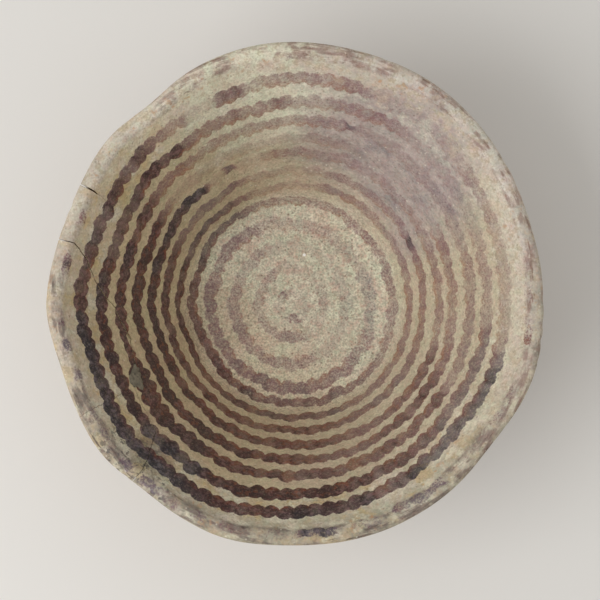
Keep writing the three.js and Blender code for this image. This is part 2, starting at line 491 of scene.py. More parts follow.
def carve(piece: bpy.types.Object, cutter: bpy.types.Object, cut: Cut) -> None:
    """Cuts a piece with a closed cutter and keeps the result in its mesh.

    Args:
        piece: The piece to cut.
        cutter: The cutter.
        cut: Whether the inside of the cutter goes or stays.
    """
    knife = piece.modifiers.new("knife", "BOOLEAN")
    knife.operation = cut.value
    knife.solver = "MANIFOLD"
    knife.object = cutter
    bpy.context.view_layer.update()
    depsgraph = bpy.context.evaluated_depsgraph_get()
    carved = bpy.data.meshes.new_from_object(piece.evaluated_get(depsgraph))
    piece.modifiers.clear()
    before = piece.data
    piece.data = carved
    bpy.data.meshes.remove(before)


def discard(cutter: bpy.types.Object) -> None:
    """Removes a cutter once it has done its work.

    Args:
        cutter: The cutter.
    """
    mesh = cutter.data
    bpy.data.objects.remove(cutter)
    bpy.data.meshes.remove(mesh)


def hand_over(
    piece: bpy.types.Object,
    node: str,
    material: bpy.types.Material,
    crease: float = 38.0,
) -> None:
    """Shades a finished piece, dresses it and gives it its place in the frame.

    Args:
        piece: The finished piece.
        node: The CAD node it stands for.
        material: Its finish.
        crease: The angle past which an edge stays sharp.
    """
    piece.data.shade_smooth()
    piece.data.set_sharp_from_angle(angle=math.radians(crease))
    piece.data.materials.clear()
    piece.data.materials.append(material)
    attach(piece, "root")
    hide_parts(node)
    LOG.info("%s stands for %s: %d faces", piece.name, node, len(piece.data.polygons))


class Bench:
    """A node tree that nodes are added to."""

    def __init__(self, tree: bpy.types.NodeTree) -> None:
        """Takes the tree to work on."""
        self.tree = tree

    def feed(self, socket: Socket, value: "Value") -> None:
        """Joins a socket to a signal, or sets it to a constant.

        Args:
            socket: The socket to feed.
            value: The signal or the constant.
        """
        if isinstance(value, Signal):
            self.tree.links.new(value.socket, socket)
        else:
            socket.default_value = value

    def add(self, kind: str, inputs: "Inputs", **settings: object) -> bpy.types.Node:
        """Adds a node.

        Args:
            kind: The node's type.
            inputs: Values for its inputs, by name or number.
            settings: Values for its own properties.

        Returns:
            The node.
        """
        node = self.tree.nodes.new(kind)
        for name, setting in settings.items():
            setattr(node, name, setting)
        for key, value in inputs.items():
            self.feed(node.inputs[key], value)
        return node

    def read(self, kind: str, inputs: "Inputs", output: str | int = 0, **settings: object) -> "Signal":
        """Adds a node and reads one of its outputs."""
        return Signal(self, self.add(kind, inputs, **settings).outputs[output])

    def reckon(self, operation: str, first: "Value", second: "Value" = 0.0) -> "Signal":
        """Works out one step of arithmetic on two values."""
        return self.read("ShaderNodeMath", {0: first, 1: second}, operation=operation)

    def mix(self, share: "Value", first: "Value", second: "Value", blend: str = "MIX") -> "Signal":
        """Blends two colours, with a share of the second in the first."""
        inputs = {0: share, 6: first, 7: second}
        return self.read("ShaderNodeMix", inputs, 2, data_type="RGBA", blend_type=blend)


@dataclass(frozen=True)
class Signal:
    """A value, a colour or coordinates in a node tree, from which more can be made."""

    bench: Bench
    socket: Socket

    def __add__(self, other: "Value") -> "Signal":
        """This value plus another."""
        return self.bench.reckon("ADD", self, other)

    def __sub__(self, other: "Value") -> "Signal":
        """This value less another."""
        return self.bench.reckon("SUBTRACT", self, other)

    def __rsub__(self, number: float) -> "Signal":
        """A number less this value."""
        return self.bench.reckon("SUBTRACT", number, self)

    def __mul__(self, other: "Value") -> "Signal":
        """This value times another."""
        return self.bench.reckon("MULTIPLY", self, other)

    def clamped(self) -> "Signal":
        """This value, held between 0 and 1."""
        return self.bench.read("ShaderNodeClamp", {0: self})

    def rise(self, low: "Value", high: "Value", top: float = 1.0) -> "Signal":
        """Rises softly from 0 where this value is low to top where it is high."""
        inputs = {0: self, 1: low, 2: high, 3: 0.0, 4: top}
        return self.bench.read("ShaderNodeMapRange", inputs, interpolation_type="SMOOTHSTEP")

    def blend(self, first: "Value", second: "Value") -> "Signal":
        """A colour that goes from the first to the second as this value rises from 0 to 1."""
        return self.bench.mix(self, first, second)

    def tint(self, share: "Value", red: float, green: float, blue: float) -> "Signal":
        """This colour with a share of a fixed colour in it, given in 0 to 255."""
        return self.bench.mix(share, self, srgb(red, green, blue))

    def parts(self) -> list["Signal"]:
        """The three parts of these coordinates or of this colour."""
        node = self.bench.add("ShaderNodeSeparateXYZ", {0: self})
        return [Signal(self.bench, socket) for socket in node.outputs]

    def measure(self, operation: str, other: "Value" = (0.0, 0.0, 0.0)) -> "Signal":
        """A length or a product of these coordinates and others."""
        return self.bench.read("ShaderNodeVectorMath", {0: self, 1: other}, "Value", operation=operation)

    def stretched(self, *scale: float) -> "Signal":
        """These coordinates stretched by a factor along each axis."""
        return self.bench.read("ShaderNodeMapping", {"Vector": self, "Scale": scale})

    def around(self, radius: float) -> "Signal":
        """Coordinates that run with the rings: two for the direction and one across the lip.

        Args:
            radius: The radius at which lengths round the bowl are true.

        Returns:
            The new coordinates.
        """
        east, north, height = self.parts()
        away = self.bench.read("ShaderNodeCombineXYZ", {0: east, 1: north}).measure("LENGTH")
        scale = self.bench.reckon("DIVIDE", radius, away)
        inputs = {0: east * scale, 1: north * scale, 2: away - height * 0.3}
        return self.bench.read("ShaderNodeCombineXYZ", inputs)

    def clouds(self, size: float, detail: float = 3.0, rough: float = 0.55) -> "Signal":
        """Cloudy noise from 0 to 1 on these coordinates.

        Args:
            size: About how large one cloud is, in metres.
            detail: How many finer layers it has.
            rough: How strong the finer layers are.

        Returns:
            The noise.
        """
        inputs = {"Vector": self, "Scale": 1.0 / size, "Detail": detail, "Roughness": rough}
        return self.bench.read("ShaderNodeTexNoise", inputs)

    def clouded(self, vector: "Signal", size: float, tone: float, hue: float) -> "Signal":
        """Lets this colour stray in soft clouds, in tone and between pink and green.

        Args:
            vector: The coordinates.
            size: About how large one cloud is, in metres.
            tone: How far it strays in tone.
            hue: How far it strays in hue.

        Returns:
            The clouded colour.
        """
        inputs = {"Vector": vector, "Scale": 1.0 / size, "Detail": 3.0}
        light, pink, _ = self.bench.read("ShaderNodeTexNoise", inputs, 1).parts()
        level = light * tone + (1.0 - tone / 2.0)
        shift = (pink - 0.5) * hue
        stray = self.bench.read("ShaderNodeCombineColor", {0: level + shift, 1: level - shift, 2: level})
        return self.bench.mix(1.0, self, stray, "MULTIPLY")

    def flecks(self, size: float, share: float, reach: float) -> "Signal":
        """Small round flecks scattered over these coordinates.

        Args:
            size: The spacing of the cells that may hold a fleck, in metres.
            share: The share of cells that do.
            reach: The fleck's radius as a share of the spacing.

        Returns:
            A mask, 1 in the middle of a fleck.
        """
        cells = self.bench.add("ShaderNodeTexVoronoi", {"Vector": self, "Scale": 1.0 / size})
        lot = Signal(self.bench, cells.outputs["Color"]).parts()[0]
        near = Signal(self.bench, cells.outputs["Distance"]).rise(reach, reach * FLECK_CORE)
        return self.bench.reckon("LESS_THAN", lot, share) * near

    def patch(self, middle: tuple[float, ...], radius: float, ragged: "Signal") -> "Signal":
        """A soft-edged patch round a point, with a ragged outline.

        Args:
            middle: The patch's middle, in millimetres.
            radius: Its radius, in millimetres.
            ragged: Noise that moves its edge.

        Returns:
            A mask, 1 in the middle.
        """
        reach = radius * MM
        away = self.measure("DISTANCE", tuple(part * MM for part in middle))
        unrest = (ragged - 0.5) * (reach * PATCH_UNREST)
        start, full = PATCH_EDGE
        return (away + unrest).rise(reach * start, reach * full)

    def hairline(self, angle: float, low: float, width: float, unrest: "Signal") -> "Signal":
        """A hairline that runs up the wall in one direction.

        Args:
            angle: The direction.
            low: The height that it starts at, in millimetres.
            width: Its width, in millimetres.
            unrest: Noise that moves it aside.

        Returns:
            A mask, 1 on the line.
        """
        turn = math.radians(angle)
        low *= MM
        width *= MM
        forth = self.measure("DOT_PRODUCT", (math.cos(turn), math.sin(turn), 0.0))
        off = self.measure("DOT_PRODUCT", (-math.sin(turn), math.cos(turn), 0.0))
        away = self.bench.reckon("ABSOLUTE", off + (unrest - 0.5) * (HAIRLINE_UNREST * width))
        line = away.rise(width, 0.0) * self.parts()[2].rise(low, low + HAIRLINE_FADE)
        return line * forth.rise(0.0, 10.0 * MM)


Value = Signal | float | tuple[float, ...]
Inputs = dict[str | int, Value]
Look = tuple[Signal, Value, Signal]


class SlipFace:
    """The slip's face over the inside and the lip: its colour, layer by layer, and its relief."""

    def __init__(self, vector: Signal, grain: dict[str, Signal]) -> None:
        """Lays out the noises and the zones that the layers share.

        Args:
            vector: The coordinates.
            grain: The grain of the clay.
        """
        self.vector = vector
        self.grain = grain
        self.across, self.north, self.height = vector.parts()
        self.broad = vector.clouds(26.0 * MM)
        self.mottle = vector.clouds(7.0 * MM, 4.0, 0.6)
        self.small = vector.clouds(2.6 * MM, 4.0, 0.65)
        self.on_wall = self.height.rise(8.0 * MM, 17.0 * MM)
        self.on_lip = self.height.rise(55.0 * MM, 61.0 * MM)
        self.crest = self.height.rise(61.7 * MM, 63.0 * MM)
        self.low = self.north - self.vector.bench.reckon("MAXIMUM", self.across, 0.0) * 0.35
        self.near_lip = self.height.rise(46.0 * MM, 54.0 * MM)
        self.on_right = (self.across + self.north).rise(-20.0 * MM, 45.0 * MM)

    def colour(self) -> Signal:
        """The colour of the face, with each layer over the one before.

        Returns:
            The colour.
        """
        colour = self.fired()
        layers = (self.wear_and_painted_shade, self.lip_painted_shade, self.clouded_lip, self.stained_lip, self.grained)
        for layer in layers:
            colour = layer(colour)
        return colour

    def relief(self) -> Signal:
        """The height of the grain and of small unevenness."""
        return self.grain["Height"] + self.small * 0.8

    def fired(self) -> Signal:
        """The fired slip: cream on the floor, buff on the wall, pale on the lip, with painted shade on
        the floor at the left.

        Returns:
            The colour.
        """
        to_right = (self.across + self.broad * (20.0 * MM)).rise(-40.0 * MM, 55.0 * MM)
        wall = to_right.blend(srgb(211, 194, 155), srgb(207, 195, 168))
        lip = to_right.blend(srgb(222, 210, 181), srgb(225, 217, 200))
        colour = self.on_wall.blend(srgb(223, 218, 195), wall)
        colour = colour.tint(self.mottle.rise(0.35, 0.72, 0.4), 188, 168, 138)
        colour = colour.tint(self.broad.rise(0.5, 0.75, 0.35), 212, 190, 170)
        colour = colour.tint(self.small.rise(0.5, 0.68, 0.3), 190, 156, 134)
        colour = (self.on_lip * 0.85).blend(colour, lip)
        colour = colour.tint(self.crest * 0.6, 223, 217, 206)
        green = (self.mottle.rise(0.52, 0.4, 0.45) - self.on_wall).clamped()
        colour = colour.tint(green, 208, 206, 178)
        blush = (self.small.rise(0.5, 0.64, 0.34) - self.on_wall).clamped()
        colour = colour.tint(blush, 204, 172, 156)
        sallow = (self.across + self.north * 1.2).rise(5.0 * MM, -35.0 * MM, 0.5)
        colour = colour.tint(sallow * self.height.rise(22.0 * MM, 12.0 * MM), 224, 204, 172)
        # Painted shade on the floor at the left, where the left wall shades it
        painted_shade_left_floor = self.vector.patch((-24.0, -4.0, 8.0), 14.0, self.broad)
        colour = colour.tint(painted_shade_left_floor * 0.35, 172, 156, 128)
        cream = self.vector.patch((-10.0, 61.0, 56.0), 34.0, self.mottle)
        colour = colour.tint(cream * 0.85, 231, 228, 203)
        return colour

    def wear_and_painted_shade(self, colour: Signal) -> Signal:
        """The smear that hides the rings at the upper right, clouded grey, and two patches of painted
        shade on the upper wall.

        Args:
            colour: The colour so far.

        Returns:
            The worn colour, with painted shade.
        """
        smear = self.vector.patch((26.0, 44.0, 42.0), 37.0, self.broad)
        colour = colour.tint(smear * 0.85, 187, 174, 169)
        colour = colour.tint(smear * self.small.rise(0.44, 0.62, 0.5), 166, 146, 141)
        colour = colour.tint(smear * self.mottle.rise(0.46, 0.7, 0.6), 148, 140, 142)
        # Painted shade, a little greenish, on the upper left of the wall
        painted_shade_upper_left = self.vector.patch((-26.0, 42.0, 36.0), 36.0, self.broad)
        colour = colour.tint(painted_shade_upper_left * 0.4, 178, 166, 136)
        # Painted shade on the upper wall
        painted_shade_upper_wall = self.vector.patch((2.0, 42.0, 26.0), 22.0, self.broad)
        colour = colour.tint(painted_shade_upper_wall * 0.3, 168, 154, 130)
        return colour

    def lip_painted_shade(self, colour: Signal) -> Signal:
        """Painted shade on the lip: darker at the lower side, at the far right and at the left.

        Args:
            colour: The colour so far.

        Returns:
            The colour with painted shade.
        """
        # Painted shade on the lower side of the lip
        colour = colour.tint(self.low.rise(0.0, -70.0 * MM, 0.75) * self.on_lip, 194, 186, 160)
        # Painted shade on the lower crest, faded in from below the crest
        shade_brow = self.height.rise(59.0 * MM, 63.8 * MM)
        colour = colour.tint(self.north.rise(-5.0 * MM, -70.0 * MM, 0.7) * shade_brow, 160, 150, 133)
        # Painted shade on the crest at the far right
        colour = colour.tint(self.across.rise(60.0 * MM, 76.0 * MM, 0.6) * self.crest, 164, 153, 142)
        # Warm painted shade near the lip at the far left
        far_left_shade = self.across.rise(-45.0 * MM, -72.0 * MM, 0.35) * self.near_lip
        colour = colour.tint(far_left_shade, 168, 146, 128)
        return colour

    def clouded_lip(self, colour: Signal) -> Signal:
        """Chalky, ochre, pink, tan and rusty clouds on the lip, with blotches at the lower side.

        Args:
            colour: The colour so far.

        Returns:
            The clouded colour.
        """
        near_lip = self.near_lip - self.crest * 0.35
        chalk = near_lip * self.mottle.rise(0.5, 0.62, 0.6)
        colour = colour.tint(chalk, 225, 219, 199)
        ochre = near_lip * self.mottle.rise(0.47, 0.36, 0.6)
        colour = ochre.blend(colour, self.on_right.blend(srgb(202, 176, 124), srgb(208, 193, 170)))
        pink = self.on_lip * self.mottle.rise(0.46, 0.62, 0.38) * self.on_right
        colour = colour.tint(pink, 204, 174, 160)
        tan = self.on_lip * self.small.rise(0.5, 0.38, 0.6)
        colour = colour.tint(tan, 198, 180, 152)
        rust = self.on_lip * self.small.rise(0.56, 0.68, 0.7) * self.broad.rise(0.4, 0.6)
        colour = colour.tint(rust, 188, 146, 108)
        blotch = self.vector.clouds(5.0 * MM, 4.0, 0.65)
        lower_lip = self.low.rise(5.0 * MM, -50.0 * MM) * near_lip
        dark_blotch = lower_lip * blotch.rise(0.53, 0.64, 0.7) * self.height.rise(60.5 * MM, 63.0 * MM)
        colour = colour.tint(dark_blotch, 114, 102, 92)
        pale_blotch = lower_lip * blotch.rise(0.48, 0.38, 0.8)
        colour = colour.tint(pale_blotch, 224, 217, 191)
        return colour

    def stained_lip(self, colour: Signal) -> Signal:
        """Stains and scratches on the lip's crest, except at the clean upper left, and a crust.

        Args:
            colour: The colour so far.

        Returns:
            The stained colour.
        """
        streak = self.vector.around(72.0 * MM).stretched(0.16, 0.16, 1.0).clouds(1.5 * MM, 4.0, 0.6)
        clean = self.vector.patch((-62.0, 36.0, 62.0), 42.0, self.broad)
        marked = self.crest * (1.0 - clean * 0.8)
        stain = marked * streak.rise(0.42, 0.56, 0.8) * self.mottle.rise(0.4, 0.56)
        colour = stain.blend(colour, self.on_right.blend(srgb(116, 102, 95), srgb(156, 132, 121)))
        scratch = marked * streak.rise(0.6, 0.67, 0.75)
        colour = scratch.blend(colour, self.on_right.blend(srgb(90, 76, 68), srgb(140, 110, 94)))
        crust = self.vector.patch((-47.0, -51.0, 62.0), 17.0, self.broad)
        crumbs = self.vector.clouds(1.5 * MM, 4.0, 0.7).rise(0.5, 0.6, 0.8)
        colour = colour.tint(crust * crumbs, 92, 86, 84)
        soot = self.vector.patch((-43.0, -47.0, 56.5), 9.0, self.small)
        colour = colour.tint(soot * 0.5, 84, 74, 66)
        return colour

    def grained(self, colour: Signal) -> Signal:
        """Clouds of tone and hue, large and small, two hairlines, the grain and one painted highlight.

        Args:
            colour: The colour so far.

        Returns:
            The grained colour.
        """
        colour = colour.clouded(self.vector, 6.5 * MM, 0.2, 0.1)
        colour = colour.clouded(self.vector, 1.8 * MM, 0.4, 0.1)

        # Hairlines down from the lip to the filled chip and below the short crack
        for angle, start, width, depth in ((209.5, 50.0, 0.22, 0.7), (153.0, 54.0, 0.18, 0.6)):
            hairline = self.vector.hairline(angle, start, width, self.small)
            colour = colour.tint(hairline * depth, 84, 70, 58)

        # Grain all over, and one painted highlight: a white glint on the floor
        grit = 0.62 - self.on_wall * 0.28 - self.on_lip * 0.1
        shade = (self.grain["Tone"] - 0.5) * grit + 0.84
        colour = self.vector.bench.mix(1.0, colour, shade, "MULTIPLY")
        reddish = self.vector.clouds(0.9 * MM, 2.0).rise(0.53, 0.65, 0.6)
        colour = colour.tint(reddish * grit, 176, 132, 114)
        colour = colour.tint(self.grain["Dark"] * (grit * 0.85), 112, 92, 80)
        colour = colour.tint(self.grain["Pale"] * 0.45, 226, 218, 200)
        # Painted highlight: a small white glint on the floor
        chip = self.vector.patch((4.2, 16.5, 7.0), 0.55, self.small)
        colour = colour.tint(chip, 250, 248, 242)
        return colour


class NodeGroups:
    """Effects that several finishes share, each built once."""

    def __init__(self) -> None:
        """Builds the groups."""
        self.grain = self.build_grain()
        self.slip_face = self.build_slip_face()

    @staticmethod
    def new_group(name: str, **outputs: str) -> tuple[bpy.types.NodeTree, Signal]:
        """Starts a group that reads coordinates.

        Args:
            name: The group's name.
            outputs: The kind of each output, by name.

        Returns:
            The group and its coordinates.
        """
        group = bpy.data.node_groups.new(name, "ShaderNodeTree")
        group.interface.new_socket("Vector", in_out="INPUT", socket_type="NodeSocketVector")
        for output, kind in outputs.items():
            group.interface.new_socket(output, in_out="OUTPUT", socket_type=f"NodeSocket{kind}")
        return group, Bench(group).read("NodeGroupInput", {}, "Vector")

    @staticmethod
    def use(group: bpy.types.NodeTree, vector: Signal) -> dict[str, Signal]:
        """Places a group beside the coordinates that it reads, and names its outputs."""
        node = vector.bench.add("ShaderNodeGroup", {"Vector": vector}, node_tree=group)
        return {socket.name: Signal(vector.bench, socket) for socket in node.outputs}

    def build_grain(self) -> bpy.types.NodeTree:
        """The grain of fired clay: fine tone, dark and pale grits, and their relief.

        Returns:
            The group.
        """
        kinds = dict.fromkeys(("Tone", "Dark", "Pale", "Height"), "Float")
        group, vector = self.new_group("clay_grain", **kinds)
        tone = vector.clouds(0.65 * MM, 2.0, 0.5) * 0.65 + vector.clouds(1.5 * MM, 3.0, 0.6) * 0.35
        dark = vector.flecks(1.1 * MM, 0.24, 0.34)
        pale = vector.flecks(1.5 * MM, 0.2, 0.28)
        relief = tone + pale * 0.3 - dark
        result = {"Tone": tone.rise(0.3, 0.7), "Dark": dark, "Pale": pale, "Height": relief}
        vector.bench.add("NodeGroupOutput", result)
        return group

    def build_slip_face(self) -> bpy.types.NodeTree:
        """The slip's colour all over the inside and the lip, with its stains, its wear, painted shade and
        one painted highlight.

        Returns:
            The group.
        """
        group, vector = self.new_group("slip_face", Color="Color", Height="Float")
        face = SlipFace(vector, self.use(self.grain, vector))
        vector.bench.add("NodeGroupOutput", {"Color": face.colour(), "Height": face.relief()})
        return group


@dataclass(frozen=True)
class Finish:
    """What the finishes have in common: a Principled material on Object coordinates."""

    groups: NodeGroups
    name: str = "finish"
    roughness: float = 0.9
    specular: float = 0.3
    relief: float = 0.2 * MM

    def look(self, vector: Signal) -> Look:
        """The colour, the roughness and the height of the relief."""
        raise NotImplementedError

    def material(self) -> bpy.types.Material:
        """Builds the material.

        Returns:
            The material.
        """
        material = bpy.data.materials.new(self.name)
        material.use_nodes = True
        bench = Bench(material.node_tree)
        shader = material.node_tree.nodes["Principled BSDF"]
        colour, roughness, height = self.look(bench.read("ShaderNodeTexCoord", {}, "Object"))
        bump: Inputs = {"Height": height, "Distance": self.relief, "Strength": 1.0}
        bench.feed(shader.inputs["Base Color"], colour)
        bench.feed(shader.inputs["Roughness"], roughness)
        bench.feed(shader.inputs["Specular IOR Level"], self.specular)
        bench.feed(shader.inputs["Normal"], bench.read("ShaderNodeBump", bump))
        return material


@dataclass(frozen=True)
class SlipFinish(Finish):
    """Fired cream slip, matt and worn, with painted shade and one painted highlight in its colour."""

    name: str = "cream_slip"
    roughness: float = 0.82
    relief: float = 0.1 * MM

    def look(self, vector: Signal) -> Look:
        """The slip's face as it is."""
        face = self.groups.use(self.groups.slip_face, vector)
        return face["Color"], self.roughness, face["Height"]


@dataclass(frozen=True)
class PaintFinish(Finish):
    """Fired purple-brown paint, worn through to the slip in places.

    The stroke attribute holds the distance inside the painted edge in millimetres, how much
    paint is left, and its hue: -1 is black, 0 purple-brown and 1 red-brown.
    """

    name: str = "ring_paint"
    roughness: float = 0.68
    specular: float = 0.35
    relief: float = 0.09 * MM

    def look(self, vector: Signal) -> Look:
        """Paint over the slip's face, as far as it has lasted.

        Args:
            vector: The coordinates.

        Returns:
            The colour, the roughness and the height of the relief.
        """
        face = self.groups.use(self.groups.slip_face, vector)
        grain = self.groups.use(self.groups.grain, vector)
        stroke = vector.bench.read("ShaderNodeAttribute", {}, "Vector", attribute_name="stroke")
        edge, load, hue = stroke.parts()
        height = vector.parts()[2]
        mottle = vector.clouds(3.4 * MM, 4.0, 0.65)
        broad = vector.clouds(11.0 * MM)
        pool = vector.clouds(1.4 * MM, 3.0, 0.6)
        speck = vector.clouds(0.6 * MM, 3.0, 0.65).rise(0.3, 0.7)

        # Thick paint: purple-brown, red-brown or blue-black, mottled with paler and darker browns
        redness = hue + broad.rise(0.5, 0.72, 0.3)
        cool = hue.rise(0.0, -1.0)
        thick = redness.rise(0.0, 1.0).blend(srgb(76, 51, 51), srgb(114, 64, 47))
        thick = thick.tint(cool, 47, 47, 53)
        worn_brown = cool.blend(srgb(112, 86, 81), srgb(94, 90, 94))
        pale_brown = cool.blend(srgb(134, 104, 98), srgb(112, 106, 110))
        dark_brown = cool.blend(srgb(46, 34, 35), srgb(36, 36, 41))
        thick = mottle.rise(0.46, 0.7, 0.5).blend(thick, worn_brown)
        thick = pool.rise(0.5, 0.38, 0.6).blend(thick, pale_brown)
        thick = pool.rise(0.5, 0.64, 0.7).blend(thick, dark_brown)
        thick = load.rise(0.98, 1.18, 0.65).blend(thick, dark_brown)

        # Thin paint: mauve, rusty or blue-grey
        thin = redness.rise(0.1, 1.0).blend(srgb(108, 56, 76), srgb(138, 80, 60))
        thin = thin.tint(cool, 92, 83, 98)
        colour = load.rise(1.0, 0.45).blend(thick, thin)
        rust = vector.clouds(1.9 * MM, 4.0, 0.65).rise(0.54, 0.64, 0.55)
        colour = colour.tint(rust * hue.rise(-0.5, 0.3), 132, 76, 50)
        colour = colour.clouded(vector, 2.4 * MM, 0.5, 0.3)
        colour = colour.tint(speck.rise(0.5, 1.0, 0.16), 150, 126, 114)
        colour = colour.tint(grain["Dark"] * 0.4, 46, 37, 37)

        # How much of it is left, worn in grains; thin paint is softer and more frayed at its edge
        loss = (1.0 - load).clamped()
        worn = (1.0 - (mottle + pool)) * (loss * 1.1 + 0.2)
        held = vector.bench.reckon("MINIMUM", load, 1.0) * (worn + 1.0)
        grainy = (held - speck).rise(-0.35, 0.35)
        share = height.rise(17.0 * MM, 8.0 * MM, 0.08) + 0.2 + height.rise(58.0 * MM, 61.0 * MM, 0.3)
        left = (held + (grainy - held) * share).clamped()
        fray = (vector.clouds(0.9 * MM, 2.0) - 0.5) * (loss * 1.3 + 1.0)
        cover = left * (edge + fray).rise(-0.05, loss * 0.45 + 0.4)
        roughness = cover.rise(1.0, -0.6, self.roughness + 0.16)
        return cover.blend(face["Color"], colour), roughness, face["Height"] + cover * 0.4


@dataclass(frozen=True)
class ClayFinish(Finish):
    """Bare smoothed earthenware with wiping marks, fire clouds and clinging soil."""

    name: str = "bare_clay"
    relief: float = 0.22 * MM

    def look(self, vector: Signal) -> Look:
        """Clay, wiped, fired and soiled.

        Args:
            vector: The coordinates.

        Returns:
            The colour, the roughness and the height of the relief.
        """
        grain = self.groups.use(self.groups.grain, vector)
        broad = vector.clouds(34.0 * MM)
        mottle = vector.clouds(8.0 * MM, 4.0, 0.6)
        small = vector.clouds(2.4 * MM, 4.0, 0.65)
        wiped = vector.stretched(0.16, 0.16, 1.5).clouds(2.2 * MM, 3.0, 0.6)
        colour = broad.rise(0.35, 0.65).blend(srgb(186, 156, 120), srgb(176, 137, 105))
        colour = colour.tint(mottle.rise(0.4, 0.7, 0.45), 196, 172, 138)
        colour = colour.tint(wiped.rise(0.45, 0.7, 0.35), 154, 121, 92)
        fire_cloud = vector.patch((48.0, -40.0, 30.0), 26.0, broad)
        colour = colour.tint(fire_cloud * 0.75, 104, 92, 82)
        lesser_cloud = vector.patch((-30.0, 52.0, 36.0), 18.0, broad)
        colour = colour.tint(lesser_cloud * 0.6, 118, 102, 90)
        soil = (small + broad * 0.6).rise(0.84, 1.0, 0.7)
        colour = colour.tint(soil, 202, 190, 166)
        foot = vector.parts()[2].rise(5.0 * MM, 0.3 * MM) * mottle.rise(0.35, 0.6, 0.6)
        colour = colour.tint(foot, 138, 118, 98)
        shade = grain["Tone"].rise(0.0, 1.0, 0.3)
        colour = vector.bench.mix(shade, colour, srgb(120, 100, 78), "MULTIPLY")
        colour = colour.tint(grain["Dark"] * 0.6, 84, 68, 56)
        colour = colour.tint(grain["Pale"] * 0.6, 216, 206, 186)
        roughness = soil.rise(1.0, -4.0, self.roughness + 0.06)
        return colour, roughness, grain["Height"] + wiped * 1.2 + soil


@dataclass(frozen=True)
class FillerFinish(Finish):
    """Grey mineral filler, matt and gritty."""

    name: str = "grey_filler"
    roughness: float = 0.93
    specular: float = 0.5

    def look(self, vector: Signal) -> Look:
        """Grey filler with its grits.

        Args:
            vector: The coordinates.

        Returns:
            The colour, the roughness and the height of the relief.
        """
        grain = self.groups.use(self.groups.grain, vector)
        mottle = vector.clouds(1.8 * MM, 4.0, 0.65)
        colour = mottle.rise(0.35, 0.65).blend(srgb(108, 102, 88), srgb(138, 130, 112))
        colour = colour.tint(grain["Dark"] * 0.7, 62, 58, 52)
        colour = colour.tint(grain["Pale"] * 0.6, 176, 170, 152)
        return colour, self.roughness, grain["Height"] + mottle


